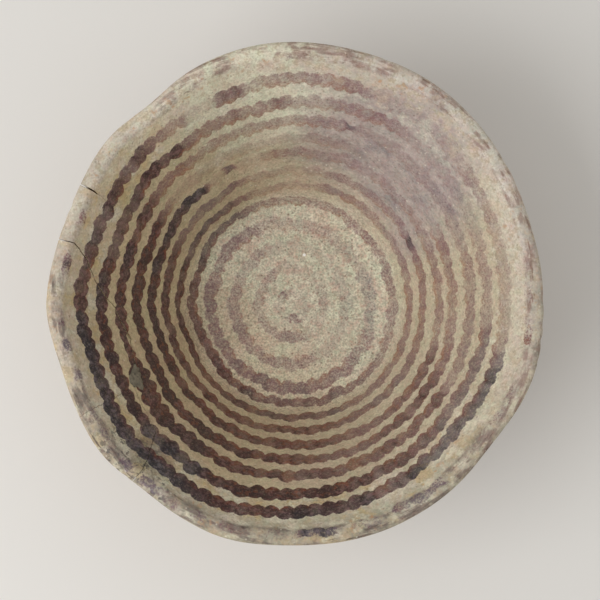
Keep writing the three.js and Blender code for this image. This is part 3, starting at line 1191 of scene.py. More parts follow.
@dataclass
class Cutters:
    """The break round the rim sherd, and the short crack in the lip, as cutting blocks."""

    line: CoatedLine
    hand: HandForm
    path: tuple[tuple[float, float], ...] = (
        (167.0, 98.3 * MM),
        (170.0, 91.3 * MM),
        (177.0, 83.6 * MM),
        (183.0, 74.8 * MM),
        (194.0, 70.0 * MM),
        (203.0, 72.4 * MM),
        (210.0, 77.1 * MM),
        (219.0, 77.9 * MM),
        (224.0, 81.1 * MM),
        (228.0, 93.7 * MM),
        (228.6, 98.3 * MM),
    )
    gap: float = 0.28 * MM
    jitter: float = 0.35 * MM
    jitter_size: float = 2.6 * MM
    fine_scale: float = 2.7
    fine_share: float = 0.5
    span: int = 3
    wide_end: float = 1.4
    closing: float = 0.8
    step: float = 0.8 * MM
    reach: float = 40.0 * MM
    crack_at: float = 152.8
    crack_width: float = 0.5 * MM
    crack_tip: float = 95.6 * MM

    def edge(self, grow: float) -> list[tuple[float, float]]:
        """The break as it really runs, moved outwards by some amount.

        Args:
            grow: How far outwards.

        Returns:
            Angle and place of each point along it.
        """
        arm = self.line.rim_radius - self.line.wall / 2.0
        flat = [Vector((math.radians(angle) * arm, place)) for angle, place in self.path]
        run: list[Vector] = []
        for start, stop in zip(flat, flat[1:]):
            count = max(1, round((stop - start).length / self.step))
            run.extend(start.lerp(stop, index / count) for index in range(count))
        run.append(flat[-1])
        edge = []
        for index, point in enumerate(run):
            along = run[min(index + self.span, len(run) - 1)] - run[max(index - self.span, 0)]
            outward = Vector((along.y, -along.x)).normalized()
            spot = Vector((point.x, point.y, 0.0)) / self.jitter_size
            fine = noise.noise(spot * self.fine_scale) * self.jitter * self.fine_share
            stray = noise.noise(spot) * self.jitter + fine
            opened = self.wide_end - self.closing * index / len(run)
            moved = point + outward * (grow * opened + stray)
            edge.append((math.degrees(moved.x / arm), moved.y))
        return edge

    def block(self, name: str, outline: Sequence[tuple[float, float]]) -> bpy.types.Object:
        """A block that stands square to the wall on an outline that is open at the lip.

        Args:
            name: The block's name.
            outline: Angle and place of each corner, from one end at the lip to the other.

        Returns:
            The block.
        """
        bm = bmesh.new()
        ends = (outline[-1][0], outline[0][0])
        top = self.line.end + self.reach
        corners = [bm.verts.new((angle * MM, place, 0.0)) for angle, place in outline]
        corners += [bm.verts.new((angle * MM, top, 0.0)) for angle in ends]
        bmesh.ops.extrude_face_region(bm, geom=[bm.faces.new(corners)])
        base = set(corners)
        raised = [vert for vert in bm.verts if vert not in base]
        bmesh.ops.translate(bm, verts=raised, vec=(0.0, 0.0, 1.0))
        bmesh.ops.triangulate(bm, faces=bm.faces)
        wall = self.line.wall
        above = self.line.height + self.reach
        for vert in bm.verts:
            angle = vert.co.x / MM
            place = vert.co.y
            far = vert.co.z > 0.5
            if place < top - MM:
                depth = wall + self.reach if far else -wall
                point = self.line.round_point(angle, min(place, self.line.lip_start), depth)
            else:
                arm = self.line.rim_radius + self.reach if far else self.line.rim_radius - 2.0 * wall
                point = swung(arm, math.radians(angle), above)
            scale = self.hand.scale(math.degrees(math.atan2(point.y, point.x)))
            vert.co = Vector((point.x * scale, point.y * scale, point.z))
        bmesh.ops.recalc_face_normals(bm, faces=bm.faces)
        return as_piece(name, bm)

    def sherd_space(self) -> bpy.types.Object:
        """The block that clears room for the sherd."""
        return self.block("sherd_space", self.edge(self.gap))

    def sherd_form(self) -> bpy.types.Object:
        """The block that the sherd is cut out with."""
        return self.block("sherd_form", self.edge(0.0))

    def lip_crack(self) -> bpy.types.Object:
        """The wedge of the short crack in the lip.

        Returns:
            The block.
        """
        half = math.degrees(self.crack_width / 2.0 / self.line.rim_radius)
        lip = self.line.lip_start
        outline = (
            (self.crack_at - half, lip),
            (self.crack_at - half * 0.9, lip - 0.8 * MM),
            (self.crack_at + half * 0.4, lip - 1.9 * MM),
            (self.crack_at + half * 0.2, self.crack_tip),
            (self.crack_at + half * 1.3, lip - 1.7 * MM),
            (self.crack_at + half, lip),
        )
        return self.block("lip_crack", outline)


@dataclass
class ClayWall:
    """The clay: a base pat and three courses of wall, with the sherd broken out of them."""

    line: CoatedLine
    hand: HandForm
    finish: ClayFinish
    steps: int = 416
    slip: float = 0.5 * MM
    rest_radius: float = 25.0 * MM
    rest_steps: int = 5
    heel_steps: int = 16
    rim_course: float = 22.8 * MM
    upper_course: float = 26.0 * MM
    seam_slant: float = 4.0 * MM
    outside_step: float = 1.3 * MM
    hidden_step: float = 3.5 * MM
    lip_step: float = 0.8 * MM
    scrape: float = 0.16 * MM
    scrape_length: float = 22.0 * MM
    scrape_height: float = 3.2 * MM
    smooth_foot: float = 5.0 * MM
    smooth_lip: tuple[float, float] = (62.0 * MM, 56.0 * MM)
    seam_ridge: float = 0.22 * MM
    ridge_width: float = 1.6 * MM
    ridge_wander: float = 1.6 * MM
    ridge_waves: float = 2.3

    @property
    def outside_depth(self) -> float:
        """How deep the outside of the wall lies from the coated line."""
        return self.line.wall - self.slip

    @property
    def rim_seam(self) -> float:
        """The place of the seam under the rim course."""
        return self.line.lip_start - self.rim_course

    @property
    def middle_seam(self) -> float:
        """The place of the seam under the upper course."""
        return self.rim_seam - self.upper_course

    def run(self, start: float, stop: float, step: float, depth: float) -> list[Vector]:
        """The section's points between two places at one depth.

        Args:
            start: The first place.
            stop: The last place.
            step: About how far apart the points are.
            depth: How deep they lie.

        Returns:
            The points.
        """
        count = max(1, round(abs(stop - start) / step))
        return [self.line.point(place, depth) for place in evenly(start, stop, count)]

    def inside(self, start: float, stop: float) -> list[Vector]:
        """The clay's face under the slip, from one place down to another.

        Args:
            start: The upper place.
            stop: The lower place.

        Returns:
            The section's points.
        """
        lip = self.line.lip_start
        if start > lip:
            under_lip = self.run(start, lip, self.lip_step, self.slip)
            return under_lip + self.run(lip, stop, self.hidden_step, self.slip)[1:]
        return self.run(start, stop, self.hidden_step, self.slip)

    def heel(self) -> list[Vector]:
        """The soft heel between the resting face and the outside of the wall.

        Returns:
            The section's points, from the resting face up.
        """
        end = self.line.point(self.line.turn_end, self.outside_depth)
        lean = self.line.tangent(self.line.turn_end)
        start = Vector((self.rest_radius, 0.0))
        control = Vector((end.x - end.y * lean.x / lean.y, 0.0))
        curve = []
        for share in evenly(0.0, 1.0, self.heel_steps):
            curve.append(start.lerp(control, share).lerp(control.lerp(end, share), share))
        return curve

    def outside(self, start: float, stop: float) -> list[Vector]:
        """The outside of the wall from one place up to another."""
        return self.run(start, stop, self.outside_step, self.outside_depth)

    def shaped(
        self,
        outside: Sequence[Vector],
        inside: Sequence[Vector],
        closed: bool,
    ) -> bmesh.types.BMesh:
        """Turns a section of clay and shapes it by hand.

        Args:
            outside: The corners on the outside of the bowl.
            inside: The corners under the slip.
            closed: Whether the section closes on itself.

        Returns:
            The shaped clay.
        """
        marks = [1.0] * len(outside) + [0.0] * len(inside)
        bm = turned([*outside, *inside], self.steps, closed, outside=marks)
        layer = bm.verts.layers.float["outside"]
        heights = [
            self.line.point(seam + self.seam_slant, self.outside_depth).y
            for seam in (self.middle_seam, self.rim_seam)
        ]
        for vert in bm.verts:
            point = self.scraped(vert.co, heights) if vert[layer] > 0.5 else vert.co
            vert.co = self.hand.shape(point)
        return bm

    def scraped(self, point: Vector, seams: Sequence[float]) -> Vector:
        """Moves a point on the outside of the wall as scraping and joining left it.

        Args:
            point: A point of the true bowl.
            seams: The heights of the seams between the courses.

        Returns:
            The moved point.
        """
        calm = smooth_step(0.0, self.smooth_foot, point.z) * smooth_step(*self.smooth_lip, point.z)
        if calm <= 0.0:
            return point
        outward = Vector((point.x, point.y, 0.0))
        radius = outward.length
        outward.normalize()
        spot = outward * (radius / self.scrape_length)
        spot.z = point.z / self.scrape_height
        amount = noise.noise(spot) * self.scrape
        for seam in seams:
            turn = (outward + Vector((0.0, 0.0, seam / MM))) * self.ridge_waves
            wander = noise.noise(turn) * self.ridge_wander
            away = (point.z - seam - wander) / self.ridge_width
            amount -= self.seam_ridge * math.exp(-away * away)
        return point + outward * amount * calm

    def build(self, cutters: "BreakSet") -> None:
        """Builds, breaks and hands over the clay pieces.

        Args:
            cutters: The blocks that cut the sherd, the crack and the chips.
        """
        line = self.line
        heel = self.heel()
        half = len(heel) // 2
        turn_end, lip_start = line.turn_end, line.lip_start
        middle_out = self.middle_seam + self.seam_slant
        rim_out = self.rim_seam + self.seam_slant
        base_seam = line.floor_radius
        radii = evenly(0.0, self.rest_radius, self.rest_steps)[:-1]
        underside = [Vector((radius, 0.0)) for radius in radii]
        base = self.shaped(underside + heel[: half + 1], self.inside(base_seam, 0.0), False)
        lower = heel[half:] + self.outside(turn_end, middle_out)[1:]
        upper = self.outside(middle_out, rim_out)
        rim = self.outside(rim_out, lip_start)
        whole = lower + upper[1:] + rim[1:]
        material = self.finish.material()
        pieces = {
            "base_pat": as_piece("base_clay", base),
            "lower_wall_course": self.course("lower_wall_clay", lower, self.middle_seam, base_seam),
            "upper_wall_course": self.course("upper_wall_clay", upper, self.rim_seam, self.middle_seam),
            "rim_course": self.course("rim_clay", rim, line.end, self.rim_seam),
            "rim_sherd": self.course("sherd_clay", whole, line.end, base_seam),
        }
        for node in ("upper_wall_course", "rim_course"):
            cutters.break_out(pieces[node])
        cutters.crack(pieces["rim_course"])
        cutters.keep_sherd(pieces["rim_sherd"])
        for node, piece in pieces.items():
            hand_over(piece, node, material)

    def course(self, name: str, outside: Sequence[Vector], top: float, bottom: float) -> bpy.types.Object:
        """A ring of wall between an outside line and the clay under the slip.

        Args:
            name: The piece's name.
            outside: The outside line, from the bottom up.
            top: The place of its top on the inside.
            bottom: The place of its bottom on the inside.

        Returns:
            The piece.
        """
        return as_piece(name, self.shaped(outside, self.inside(top, bottom), True))


@dataclass
class BreakSet:
    """The cutters at work: they cut pieces and are put away afterwards."""

    space: bpy.types.Object
    form: bpy.types.Object
    wedge: bpy.types.Object
    chips: tuple[bpy.types.Object, ...]

    def break_out(self, piece: bpy.types.Object) -> None:
        """Takes the sherd and the chips on the break out of a piece."""
        for cutter in (self.space, *self.chips):
            carve(piece, cutter, Cut.AWAY)

    def keep_sherd(self, piece: bpy.types.Object) -> None:
        """Keeps only what comes away with the sherd, less the chips.

        Args:
            piece: The piece to cut.
        """
        carve(piece, self.form, Cut.KEEP)
        for chip in self.chips:
            carve(piece, chip, Cut.AWAY)

    def crack(self, piece: bpy.types.Object) -> None:
        """Opens the short crack in the lip."""
        carve(piece, self.wedge, Cut.AWAY)

    def put_away(self) -> None:
        """Removes the cutters."""
        for cutter in (self.space, self.form, self.wedge, *self.chips):
            discard(cutter)


@dataclass
class SlipCoat:
    """The coat of slip over the inside and the lip."""

    line: CoatedLine
    hand: HandForm
    finish: SlipFinish
    steps: int = 560
    thickness: float = 0.5 * MM
    face_step: float = 1.2 * MM
    lip_step: float = 0.5 * MM
    hidden_step: float = 5.0 * MM
    feather: float = 0.14 * MM
    feather_reach: float = 1.6 * MM
    ragged: float = 1.0 * MM
    ragged_waves: tuple[float, float] = (9.0, 31.0)
    ragged_shares: tuple[float, float] = (0.5, 0.35)

    def places(self, face_step: float, lip_step: float) -> list[float]:
        """Places from the middle of the floor to the slip's end on the lip.

        Args:
            face_step: Their spacing on the floor and wall.
            lip_step: Their spacing on the lip.

        Returns:
            The places.
        """
        lip = self.line.lip_start
        count = round(lip / face_step)
        rounded = round((self.line.end - lip) / lip_step)
        return evenly(0.0, lip, count)[:-1] + evenly(lip, self.line.end, rounded)

    def coat(self) -> bmesh.types.BMesh:
        """The whole coat, shaped by hand, with a ragged edge under the lip.

        Returns:
            The coat.
        """
        line = self.line
        face = self.places(self.face_step, self.lip_step)
        back = self.places(self.hidden_step, self.lip_step * 2.0)
        section = [line.point(place) for place in face]
        section += [line.point(place, self.thickness) for place in reversed(back)]
        bm = turned(section, self.steps, False)
        centre = Vector((line.rim_radius - line.wall / 2.0, line.height - line.wall / 2.0))
        for vert in bm.verts:
            vert.co = self.hand.shape(self.ragged_edge(vert.co, centre))
        return bm

    def ragged_edge(self, point: Vector, centre: Vector) -> Vector:
        """Draws the slip's edge under the lip back unevenly, and thins it.

        Args:
            point: A point of the true coat.
            centre: The middle of the lip's section.

        Returns:
            The point, moved if it lies near the edge.
        """
        radius = math.hypot(point.x, point.y)
        arm = Vector((radius, point.z)) - centre
        if radius < centre.x or arm.length > self.line.wall:
            return point
        angle = math.atan2(arm.y, arm.x)
        end = math.atan2(self.line.points[-1].y - centre.y, self.line.points[-1].x - centre.x)
        left = (angle - end) * arm.length
        near = 1.0 - smooth_step(0.0, self.feather_reach, left)
        if near <= 0.0:
            return point
        turn = math.atan2(point.y, point.x)
        spot = swung(1.0, turn, 0.0)
        slow, quick = (noise.noise(spot * waves) for waves in self.ragged_waves)
        slow_share, quick_share = self.ragged_shares
        draw = (0.5 + slow_share * slow + quick_share * quick) * self.ragged
        angle += near * max(draw, 0.0) / arm.length
        outer = self.line.wall / 2.0
        reach = arm.length
        if reach > outer - self.thickness * 0.5:
            reach -= near * (self.thickness - self.feather)
        flat = centre + reach * CoatedLine.compass(angle)
        return swung(flat.x, turn, flat.y)

    def build(self, cutters: BreakSet) -> None:
        """Builds the coat, breaks it and hands over both parts.

        Args:
            cutters: The blocks that cut the sherd, the crack and the chips.
        """
        material = self.finish.material()
        bowl = as_piece("bowl_slip", self.coat())
        sherd = copy_of(bowl, "slip_on_sherd")
        cutters.break_out(bowl)
        cutters.crack(bowl)
        cutters.keep_sherd(sherd)
        hand_over(bowl, "interior_slip", material)
        hand_over(sherd, "sherd_slip", material)


@dataclass(frozen=True)
class Dab:
    """One touch of the brush: an oval that leans, rounder towards the lip than towards the floor."""

    at: float
    across: float
    half_length: float
    half_width: float
    lean: float
    load: float
    hue: float
    taper: float = 1.6
    bluntness: float = 0.7

    def edges(self, along: float) -> tuple[float, float]:
        """Where the oval begins and ends across the ring.

        Args:
            along: How far along the ring from the oval's middle, within its half length.

        Returns:
            The lower and the upper edge.
        """
        share = min(abs(along) / self.half_length, 1.0)
        middle = self.across - self.lean * along
        rounded = self.half_width * math.sqrt(1.0 - share * share)
        pointed = self.half_width * (1.0 - share**self.taper) ** self.bluntness
        return middle - pointed, middle + rounded


@dataclass(frozen=True)
class Stretch:
    """A stretch of one ring that differs from the rest."""

    start: float
    stop: float
    load: float
    hue: float
    wide: float = 1.0
    soft_share: float = 0.32
    least_soft: float = 1.5

    def felt(self, angle: float) -> float:
        """How far inside the stretch a direction lies.

        Args:
            angle: The direction.

        Returns:
            A share from 0 to 1.
        """
        half = (self.stop - self.start) / 2.0
        away = abs(turn_between((self.start + self.stop) / 2.0, angle))
        soft = max(self.least_soft, self.soft_share * half)
        return smooth_step(half + soft, half - soft, away)


def worn(*rows: tuple[float, ...]) -> tuple[Stretch, ...]:
    """The stretches of one ring, from rows of start, stop, load, hue and, where it differs, width."""
    return tuple(Stretch(*row) for row in rows)


@dataclass(frozen=True)
class RingStroke:
    """How one ring was painted and what is left of it, in millimetres and degrees."""

    place: float
    lean: float
    lean_at: float
    sway: float
    sway_at: float
    width: float
    pitch: float
    cover: float
    loss: float
    most_at: float
    hue: float = 0.0
    spots: float = 0.0
    stretches: tuple[Stretch, ...] = ()


@dataclass
class PaintedRings:
    """The thirteen painted rings, each a row of overlapping brush dabs."""

    line: CoatedLine
    hand: HandForm
    finish: PaintFinish
    strokes: tuple[RingStroke, ...] = (
        RingStroke(
            4.2, 0.5, 300.0, 0.3, 30.0, 3.8, 4.0, 0.24, 0.06, 300.0, 0.0, 0.25,
            stretches=worn(
                (20, 110, 0.1, 0.0), (115, 155, 0.46, 0.0), (166, 244, 0.08, 0.0),
                (248, 294, 0.78, -0.2), (298, 338, 0.32, 0.2), (342, 378, 0.1, 0.0),
            ),
        ),
        RingStroke(
            10.9, 0.3, 140.0, 0.2, 94.0, 4.6, 4.1, 0.26, 0.05, 235.0, 0.0, 0.15,
            stretches=worn(
                (30, 110, 0.12, 0.0), (115, 200, 0.34, 0.0), (252, 290, 0.38, -0.2),
                (300, 338, 0.12, 0.0),
            ),
        ),
        RingStroke(
            18.6, 0.5, 180.0, 0.4, 98.0, 5.1, 4.2, 0.33, 0.2, 242.0, 0.0, 0.08,
            stretches=worn(
                (115, 156, 0.34, -0.3), (160, 202, 0.36, -0.4), (295, 335, 0.2, -0.1),
                (350, 385, 0.24, -0.9),
            ),
        ),
        RingStroke(
            26.5, 0.7, 212.0, 0.8, 129.0, 5.2, 4.4, 0.48, 0.22, 245.0,
            stretches=worn(
                (-20, 24, 0.4, -1.0), (115, 160, 0.56, -0.2), (160, 215, 0.58, -0.3),
            ),
        ),
        RingStroke(
            33.6, 1.2, 67.0, 1.0, 128.0, 4.8, 4.5, 0.62, 0.22, 218.0,
            stretches=worn(
                (68, 112, 0.4, 0.2), (-20, 60, 0.53, -0.3), (116, 158, 0.74, -0.7),
                (158, 205, 0.88, -0.1),
            ),
        ),
        RingStroke(
            41.6, 1.25, 40.0, 0.6, 143.0, 4.9, 4.5, 0.66, 0.22, 218.0,
            stretches=worn(
                (-22, 20, 0.58, 0.2), (74, 112, 0.32, 0.3), (120, 158, 0.84, -0.7),
                (158, 205, 1.0, 0.0),
            ),
        ),
        RingStroke(
            49.3, 1.4, 50.0, 0.5, 144.0, 5.1, 4.5, 0.67, 0.2, 232.0,
            stretches=worn(
                (-22, 23, 0.58, 0.3), (23.5, 30, 0.8, -0.7, 0.8), (72, 110, 0.24, 0.2),
                (114, 152, 0.62, -0.6), (152, 215, 0.94, 0.1), (217, 290, 0.92, 0.55),
            ),
        ),
        RingStroke(
            57.2, 1.9, 33.0, 0.85, 123.0, 5.7, 4.4, 0.76, 0.36, 205.0,
            stretches=worn(
                (-4, 22, 0.56, 0.2), (92, 100, 0.4, 0.2), (100, 127, 0.18, 0.3),
                (113.5, 117.5, 0.85, -0.8, 0.7), (127, 139, 1.1, -0.9), (139, 156, 1.08, -0.6),
                (206, 250, 1.08, 0.5), (250, 292, 0.92, 0.45), (296, 340, 0.8, 0.1),
            ),
        ),
        RingStroke(
            64.6, 1.0, 10.0, 0.7, 118.0, 6.0, 4.3, 0.74, 0.36, 200.0,
            stretches=worn(
                (-4, 25, 0.54, 0.2), (27, 66, 0.06, 0.0), (70, 146, 0.22, 0.1),
                (154, 240, 1.15, 0.35, 1.1), (298, 340, 0.8, 0.1),
            ),
        ),
        RingStroke(
            72.9, 0.55, 17.0, 0.25, 72.0, 6.2, 4.2, 0.76, 0.32, 205.0, 0.1,
            stretches=worn(
                (16, 42, 0.3, -0.8), (72, 131, 0.44, 0.3), (70.2, 73.2, 0.8, -0.95, 0.45),
                (132, 144, 0.6, 0.1), (204, 223, 1.08, 0.1, 1.72), (223, 240, 1.1, -0.4, 1.35),
                (296, 330, 0.78, 0.0), (330, 352, 0.5, -0.5),
            ),
        ),
        RingStroke(
            81.4, 0.6, 261.0, 0.77, 60.0, 6.5, 4.2, 0.78, 0.34, 228.0, -0.2,
            stretches=worn(
                (18, 36, 0.3, -0.9), (56, 92, 0.42, 0.3), (92, 124, 0.62, 0.3),
                (126, 160, 0.95, -0.3), (220, 242, 1.0, -1.0, 1.2), (252, 284, 1.1, 0.0),
                (318, 350, 0.72, -0.6), (352, 378, 0.38, -0.3),
            ),
        ),
        RingStroke(
            90.2, 0.8, 192.0, 0.94, 60.0, 6.5, 4.2, 0.74, 0.38, 230.0, -0.3,
            stretches=worn(
                (24, 34, 0.38, -0.3), (70, 104, 0.5, 0.3), (77, 80.5, 0.55, 1.0),
                (104, 112, 0.68, 0.0), (112.5, 122, 0.1, 0.0), (122, 132, 0.5, 0.2),
                (133, 160, 0.88, -0.3), (188, 240, 1.04, -0.9, 1.1), (246, 262, 1.08, 0.1),
                (270, 288, 1.08, -0.4), (298, 345, 0.82, -0.9), (347, 382, 0.32, -0.2),
            ),
        ),
        RingStroke(
            99.4, 0.5, 260.0, 0.3, 60.0, 3.4, 4.4, 0.07, 0.04, 320.0, 0.0, 0.7,
            stretches=worn(
                (84, 92, 0.95, -0.5), (158, 161.5, 0.3, 0.4), (170, 175, 0.6, -0.5),
                (187, 194, 0.65, -0.9), (198, 202, 0.4, -0.8), (209, 219, 0.35, -0.8),
                (223, 236, 0.4, -0.9), (240, 251, 0.35, -0.5), (270.5, 280, 0.7, -0.9),
                (283, 295, 0.5, -0.7), (297, 309, 0.25, -0.9), (329, 338, 0.28, -0.8),
                (343, 350, 0.4, 0.9),
            ),
        ),
    )
    drifts: tuple[Swell, ...] = (
        Swell(15.0, 0.5, 12.0),
        Swell(46.0, -0.5, 12.0),
        Swell(104.0, -1.4, 12.0),
        Swell(131.0, 1.2, 10.0),
        Swell(211.0, -0.9, 10.0),
        Swell(237.0, 1.0, 10.0),
        Swell(296.0, -0.5, 12.0),
        Swell(321.0, 0.5, 9.0),
        Swell(343.0, -0.5, 9.0),
    )
    most: float = 1.15
    uneven: float = 0.13
    aside: float = 0.3
    lengths: tuple[float, float] = (0.96, 1.1)
    widths: tuple[float, float] = (0.84, 1.1)
    leans: tuple[float, float] = (0.12, 0.36)
    load_spread: float = 0.08
    hue_spread: float = 0.22
    thinnest: float = 0.4 * MM
    overlap: float = 1.46
    twice: float = 0.1
    twice_reach: float = 0.3
    bulge: float = 1.6 * MM
    load_run: float = 13.0 * MM
    load_stride: float = 7.3
    load_unrest: tuple[float, float] = (0.1, 0.3)
    hue_unrest: float = 0.3
    stretch_unrest: float = 0.2
    stretch_hue: float = 0.8
    margin: float = 0.2 * MM
    film: float = 0.085 * MM
    film_edge: int = 6
    feather: float = 0.02 * MM
    sunk: float = 0.12 * MM
    top: tuple[float, ...] = (-1.0, -0.9, -0.72, -0.4, 0.0, 0.4, 0.72, 0.9, 1.0)
    under: tuple[float, ...] = (0.95, 0.0, -0.95)
    step: float = 0.34 * MM
    fringe: float = 1.5
    fringe_run: float = 7.0
    fringe_stride: float = 3.1
    fringe_rings: tuple[float, float] = (13.0, 12.0)
    fringe_across: tuple[float, float] = (0.1, -1.0)
    smear_at: tuple[float, float] = (26.0 * MM, 44.0 * MM)
    smear_radius: float = 38.0 * MM
    smear_rings: tuple[float, float] = (6.0, 9.0)
    smear_edge: tuple[float, float] = (1.1, 0.4)
    smear_loss: float = 0.6
    drift_rings: tuple[float, float] = (2.5, 6.0)
    inmost: float = 0.05 * MM
    first_broken: int = 10
    seed: int = 20

    def middle(self, number: int, angle: float) -> float:
        """The place of a ring's middle in one direction.

        Args:
            number: The ring's number.
            angle: The direction.

        Returns:
            The place.
        """
        stroke = self.strokes[number - 1]
        lean = stroke.lean * math.cos(math.radians(angle - stroke.lean_at))
        sway = stroke.sway * math.cos(2.0 * math.radians(angle - stroke.sway_at))
        drift = sum(swell.amount(angle) for swell in self.drifts)
        drift *= smooth_step(*self.drift_rings, number)
        return (stroke.place + lean + sway + drift) * MM

    def kept(self, number: int, angle: float) -> float:
        """How much of a ring's paint has lasted in one direction.

        Args:
            number: The ring's number.
            angle: The direction.

        Returns:
            A share, 1 where all of it is left.
        """
        stroke = self.strokes[number - 1]
        around = stroke.cover + stroke.loss * math.cos(math.radians(angle - stroke.most_at))
        spot = self.line.round_point(angle, stroke.place * MM).to_2d()
        away = (spot - Vector(self.smear_at)).length
        start, full = self.smear_edge
        rubbed = smooth_step(self.smear_radius * start, self.smear_radius * full, away)
        outer = smooth_step(*self.smear_rings, number)
        return min(around, self.most) * (1.0 - self.smear_loss * rubbed * outer)

    def dabs(self, stroke: RingStroke, number: int) -> tuple[list[Dab], float]:
        """Lays the brush dabs of one ring.

        Args:
            stroke: How the ring was painted.
            number: Its number.

        Returns:
            The dabs and the ring's length.
        """
        draw = random.Random(self.seed + number)
        length = 2.0 * math.pi * self.line.point(stroke.place * MM).x
        count = max(4, round(length / (stroke.pitch * MM)))
        pitch = length / count
        dabs = []
        for index in range(count):
            dab = Dab(
                at=(index + draw.uniform(-self.uneven, self.uneven)) * pitch,
                across=draw.gauss(0.0, self.aside) * MM,
                half_length=pitch / 2.0 * self.overlap * draw.uniform(*self.lengths),
                half_width=stroke.width * MM / 2.0 * draw.uniform(*self.widths),
                lean=draw.uniform(*self.leans),
                load=1.0 + draw.uniform(-1.0, 1.0) * (self.load_spread + stroke.spots),
                hue=draw.gauss(0.0, self.hue_spread),
            )
            dabs.append(dab)
        return dabs, length

    def profile(self, stroke: RingStroke, number: int, steps: int) -> list[tuple[float, ...]]:
        """A ring's painted edges, load and hue at each step round it.

        Args:
            stroke: How the ring was painted.
            number: Its number.
            steps: How many steps there are.

        Returns:
            Lower edge, upper edge, load and hue of each step.
        """
        dabs, length = self.dabs(stroke, number)
        rows = []
        for step in range(steps):
            angle = 360.0 * step / steps
            low, high = -self.thinnest, self.thinnest
            weight = 1e-6
            load = 0.6e-6
            hue = 0.0
            shares = [0.0, 0.0]
            for dab in dabs:
                along = (length * step / steps - dab.at + length * 1.5) % length - length / 2.0
                away = abs(along) / dab.half_length
                if away >= 1.0:
                    continue
                edges = dab.edges(along)
                low, high = min(low, edges[0]), max(high, edges[1])
                felt = (1.0 - away) ** 2
                weight += felt
                load += felt * dab.load
                hue += felt * dab.hue
                shares.append(1.0 - away)
            twice = smooth_step(0.0, self.twice_reach, sorted(shares)[-2])
            load = load / weight * (1.0 + self.twice * (twice - 0.5))
            hue = hue / weight
            spot = Vector((length * step / steps / self.load_run, number * self.load_stride, 0.0))
            kept = self.kept(number, angle)
            lost = 1.0 - kept
            touch = 1.0 + (load - 1.0) * (1.0 + lost)
            steady, worn_off = self.load_unrest
            load = touch * kept * (1.0 + (steady + worn_off * lost) * noise.noise(spot))
            hue += stroke.hue + self.hue_unrest * noise.noise(spot * 1.7)
            patchy = 1.0 + self.stretch_unrest * noise.noise(spot * 2.0)
            for stretch in stroke.stretches:
                inside = stretch.felt(angle)
                load += inside * (stretch.load * touch * patchy - load)
                hue += inside * (stretch.hue - hue) * self.stretch_hue
                wider = 1.0 + inside * (stretch.wide - 1.0)
                low *= wider
                high *= wider
            rows.append((low, high, load, hue))
        return rows

    def film_of(self, number: int) -> bmesh.types.BMesh:
        """The film of paint of one ring, lying on the slip.

        Args:
            number: The ring's number.

        Returns:
            The film.
        """
        line = self.line
        stroke = self.strokes[number - 1]
        radius = line.point(stroke.place * MM).x
        steps = SPIN_SHARES * max(6, round(2.0 * math.pi * radius / self.step / SPIN_SHARES))
        rows = self.profile(stroke, number, steps)
        shares = [*self.top, *self.under]
        lifts = [1.0] * len(self.top) + [0.0] * len(self.under)
        half = stroke.width * MM / 2.0
        section = []
        for share, lift in zip(shares, lifts):
            section.append(line.point(stroke.place * MM + share * half, self.sunk * (1.0 - 2.0 * lift)))
        bm = turned(section, steps, True, across=shares, lift=lifts)
        stroke_layer = bm.loops.layers.float_vector.new("stroke")
        across_layer = bm.verts.layers.float["across"]
        lift_layer = bm.verts.layers.float["lift"]
        for vert in bm.verts:
            angle = math.degrees(math.atan2(vert.co.y, vert.co.x)) % 360.0
            spot = angle / 360.0 * steps
            across, lift = vert[across_layer], vert[lift_layer]
            low, high = rows[round(spot) % steps][:2]
            share, hue = rows[round(spot - across * across * self.bulge / self.step) % steps][2:]
            centre = (low + high) / 2.0
            reach = (high - low) / 2.0 + self.margin
            place = self.middle(number, angle) + centre + across * reach
            rise = self.film * (1.0 - across**self.film_edge) - self.feather if lift > 0.5 else -self.sunk
            point = line.round_point(angle, max(place, self.inmost), -rise)
            inside = (reach * (1.0 - abs(across)) - self.margin) / MM
            patch_at = Vector((angle / self.fringe_run, number * self.fringe_stride, 0.0))
            patches = 0.5 + 0.9 * noise.noise(patch_at)
            fringe = self.fringe * smooth_step(*self.fringe_rings, number)
            rusty = hue + fringe * max(patches, 0.0) * smooth_step(*self.fringe_across, across)
            for loop in vert.link_loops:
                loop[stroke_layer] = (inside, share, rusty)
            vert.co = self.hand.shape(point)
        return bm

    def build(self, cutters: BreakSet) -> None:
        """Paints the rings, breaks the outer ones and hands them over.

        Args:
            cutters: The blocks that cut the sherd, the crack and the chips.
        """
        material = self.finish.material()
        for number in range(1, len(self.strokes) + 1):
            node = f"paint_ring_{number:02d}"
            ring = as_piece(f"ring_{number:02d}", self.film_of(number))
            if number >= self.first_broken:
                part = copy_of(ring, f"ring_{number:02d}_on_sherd")
                cutters.break_out(ring)
                cutters.keep_sherd(part)
                hand_over(part, f"{node}_sherd", material)
            if number == len(self.strokes):
                cutters.crack(ring)
            hand_over(ring, node, material)


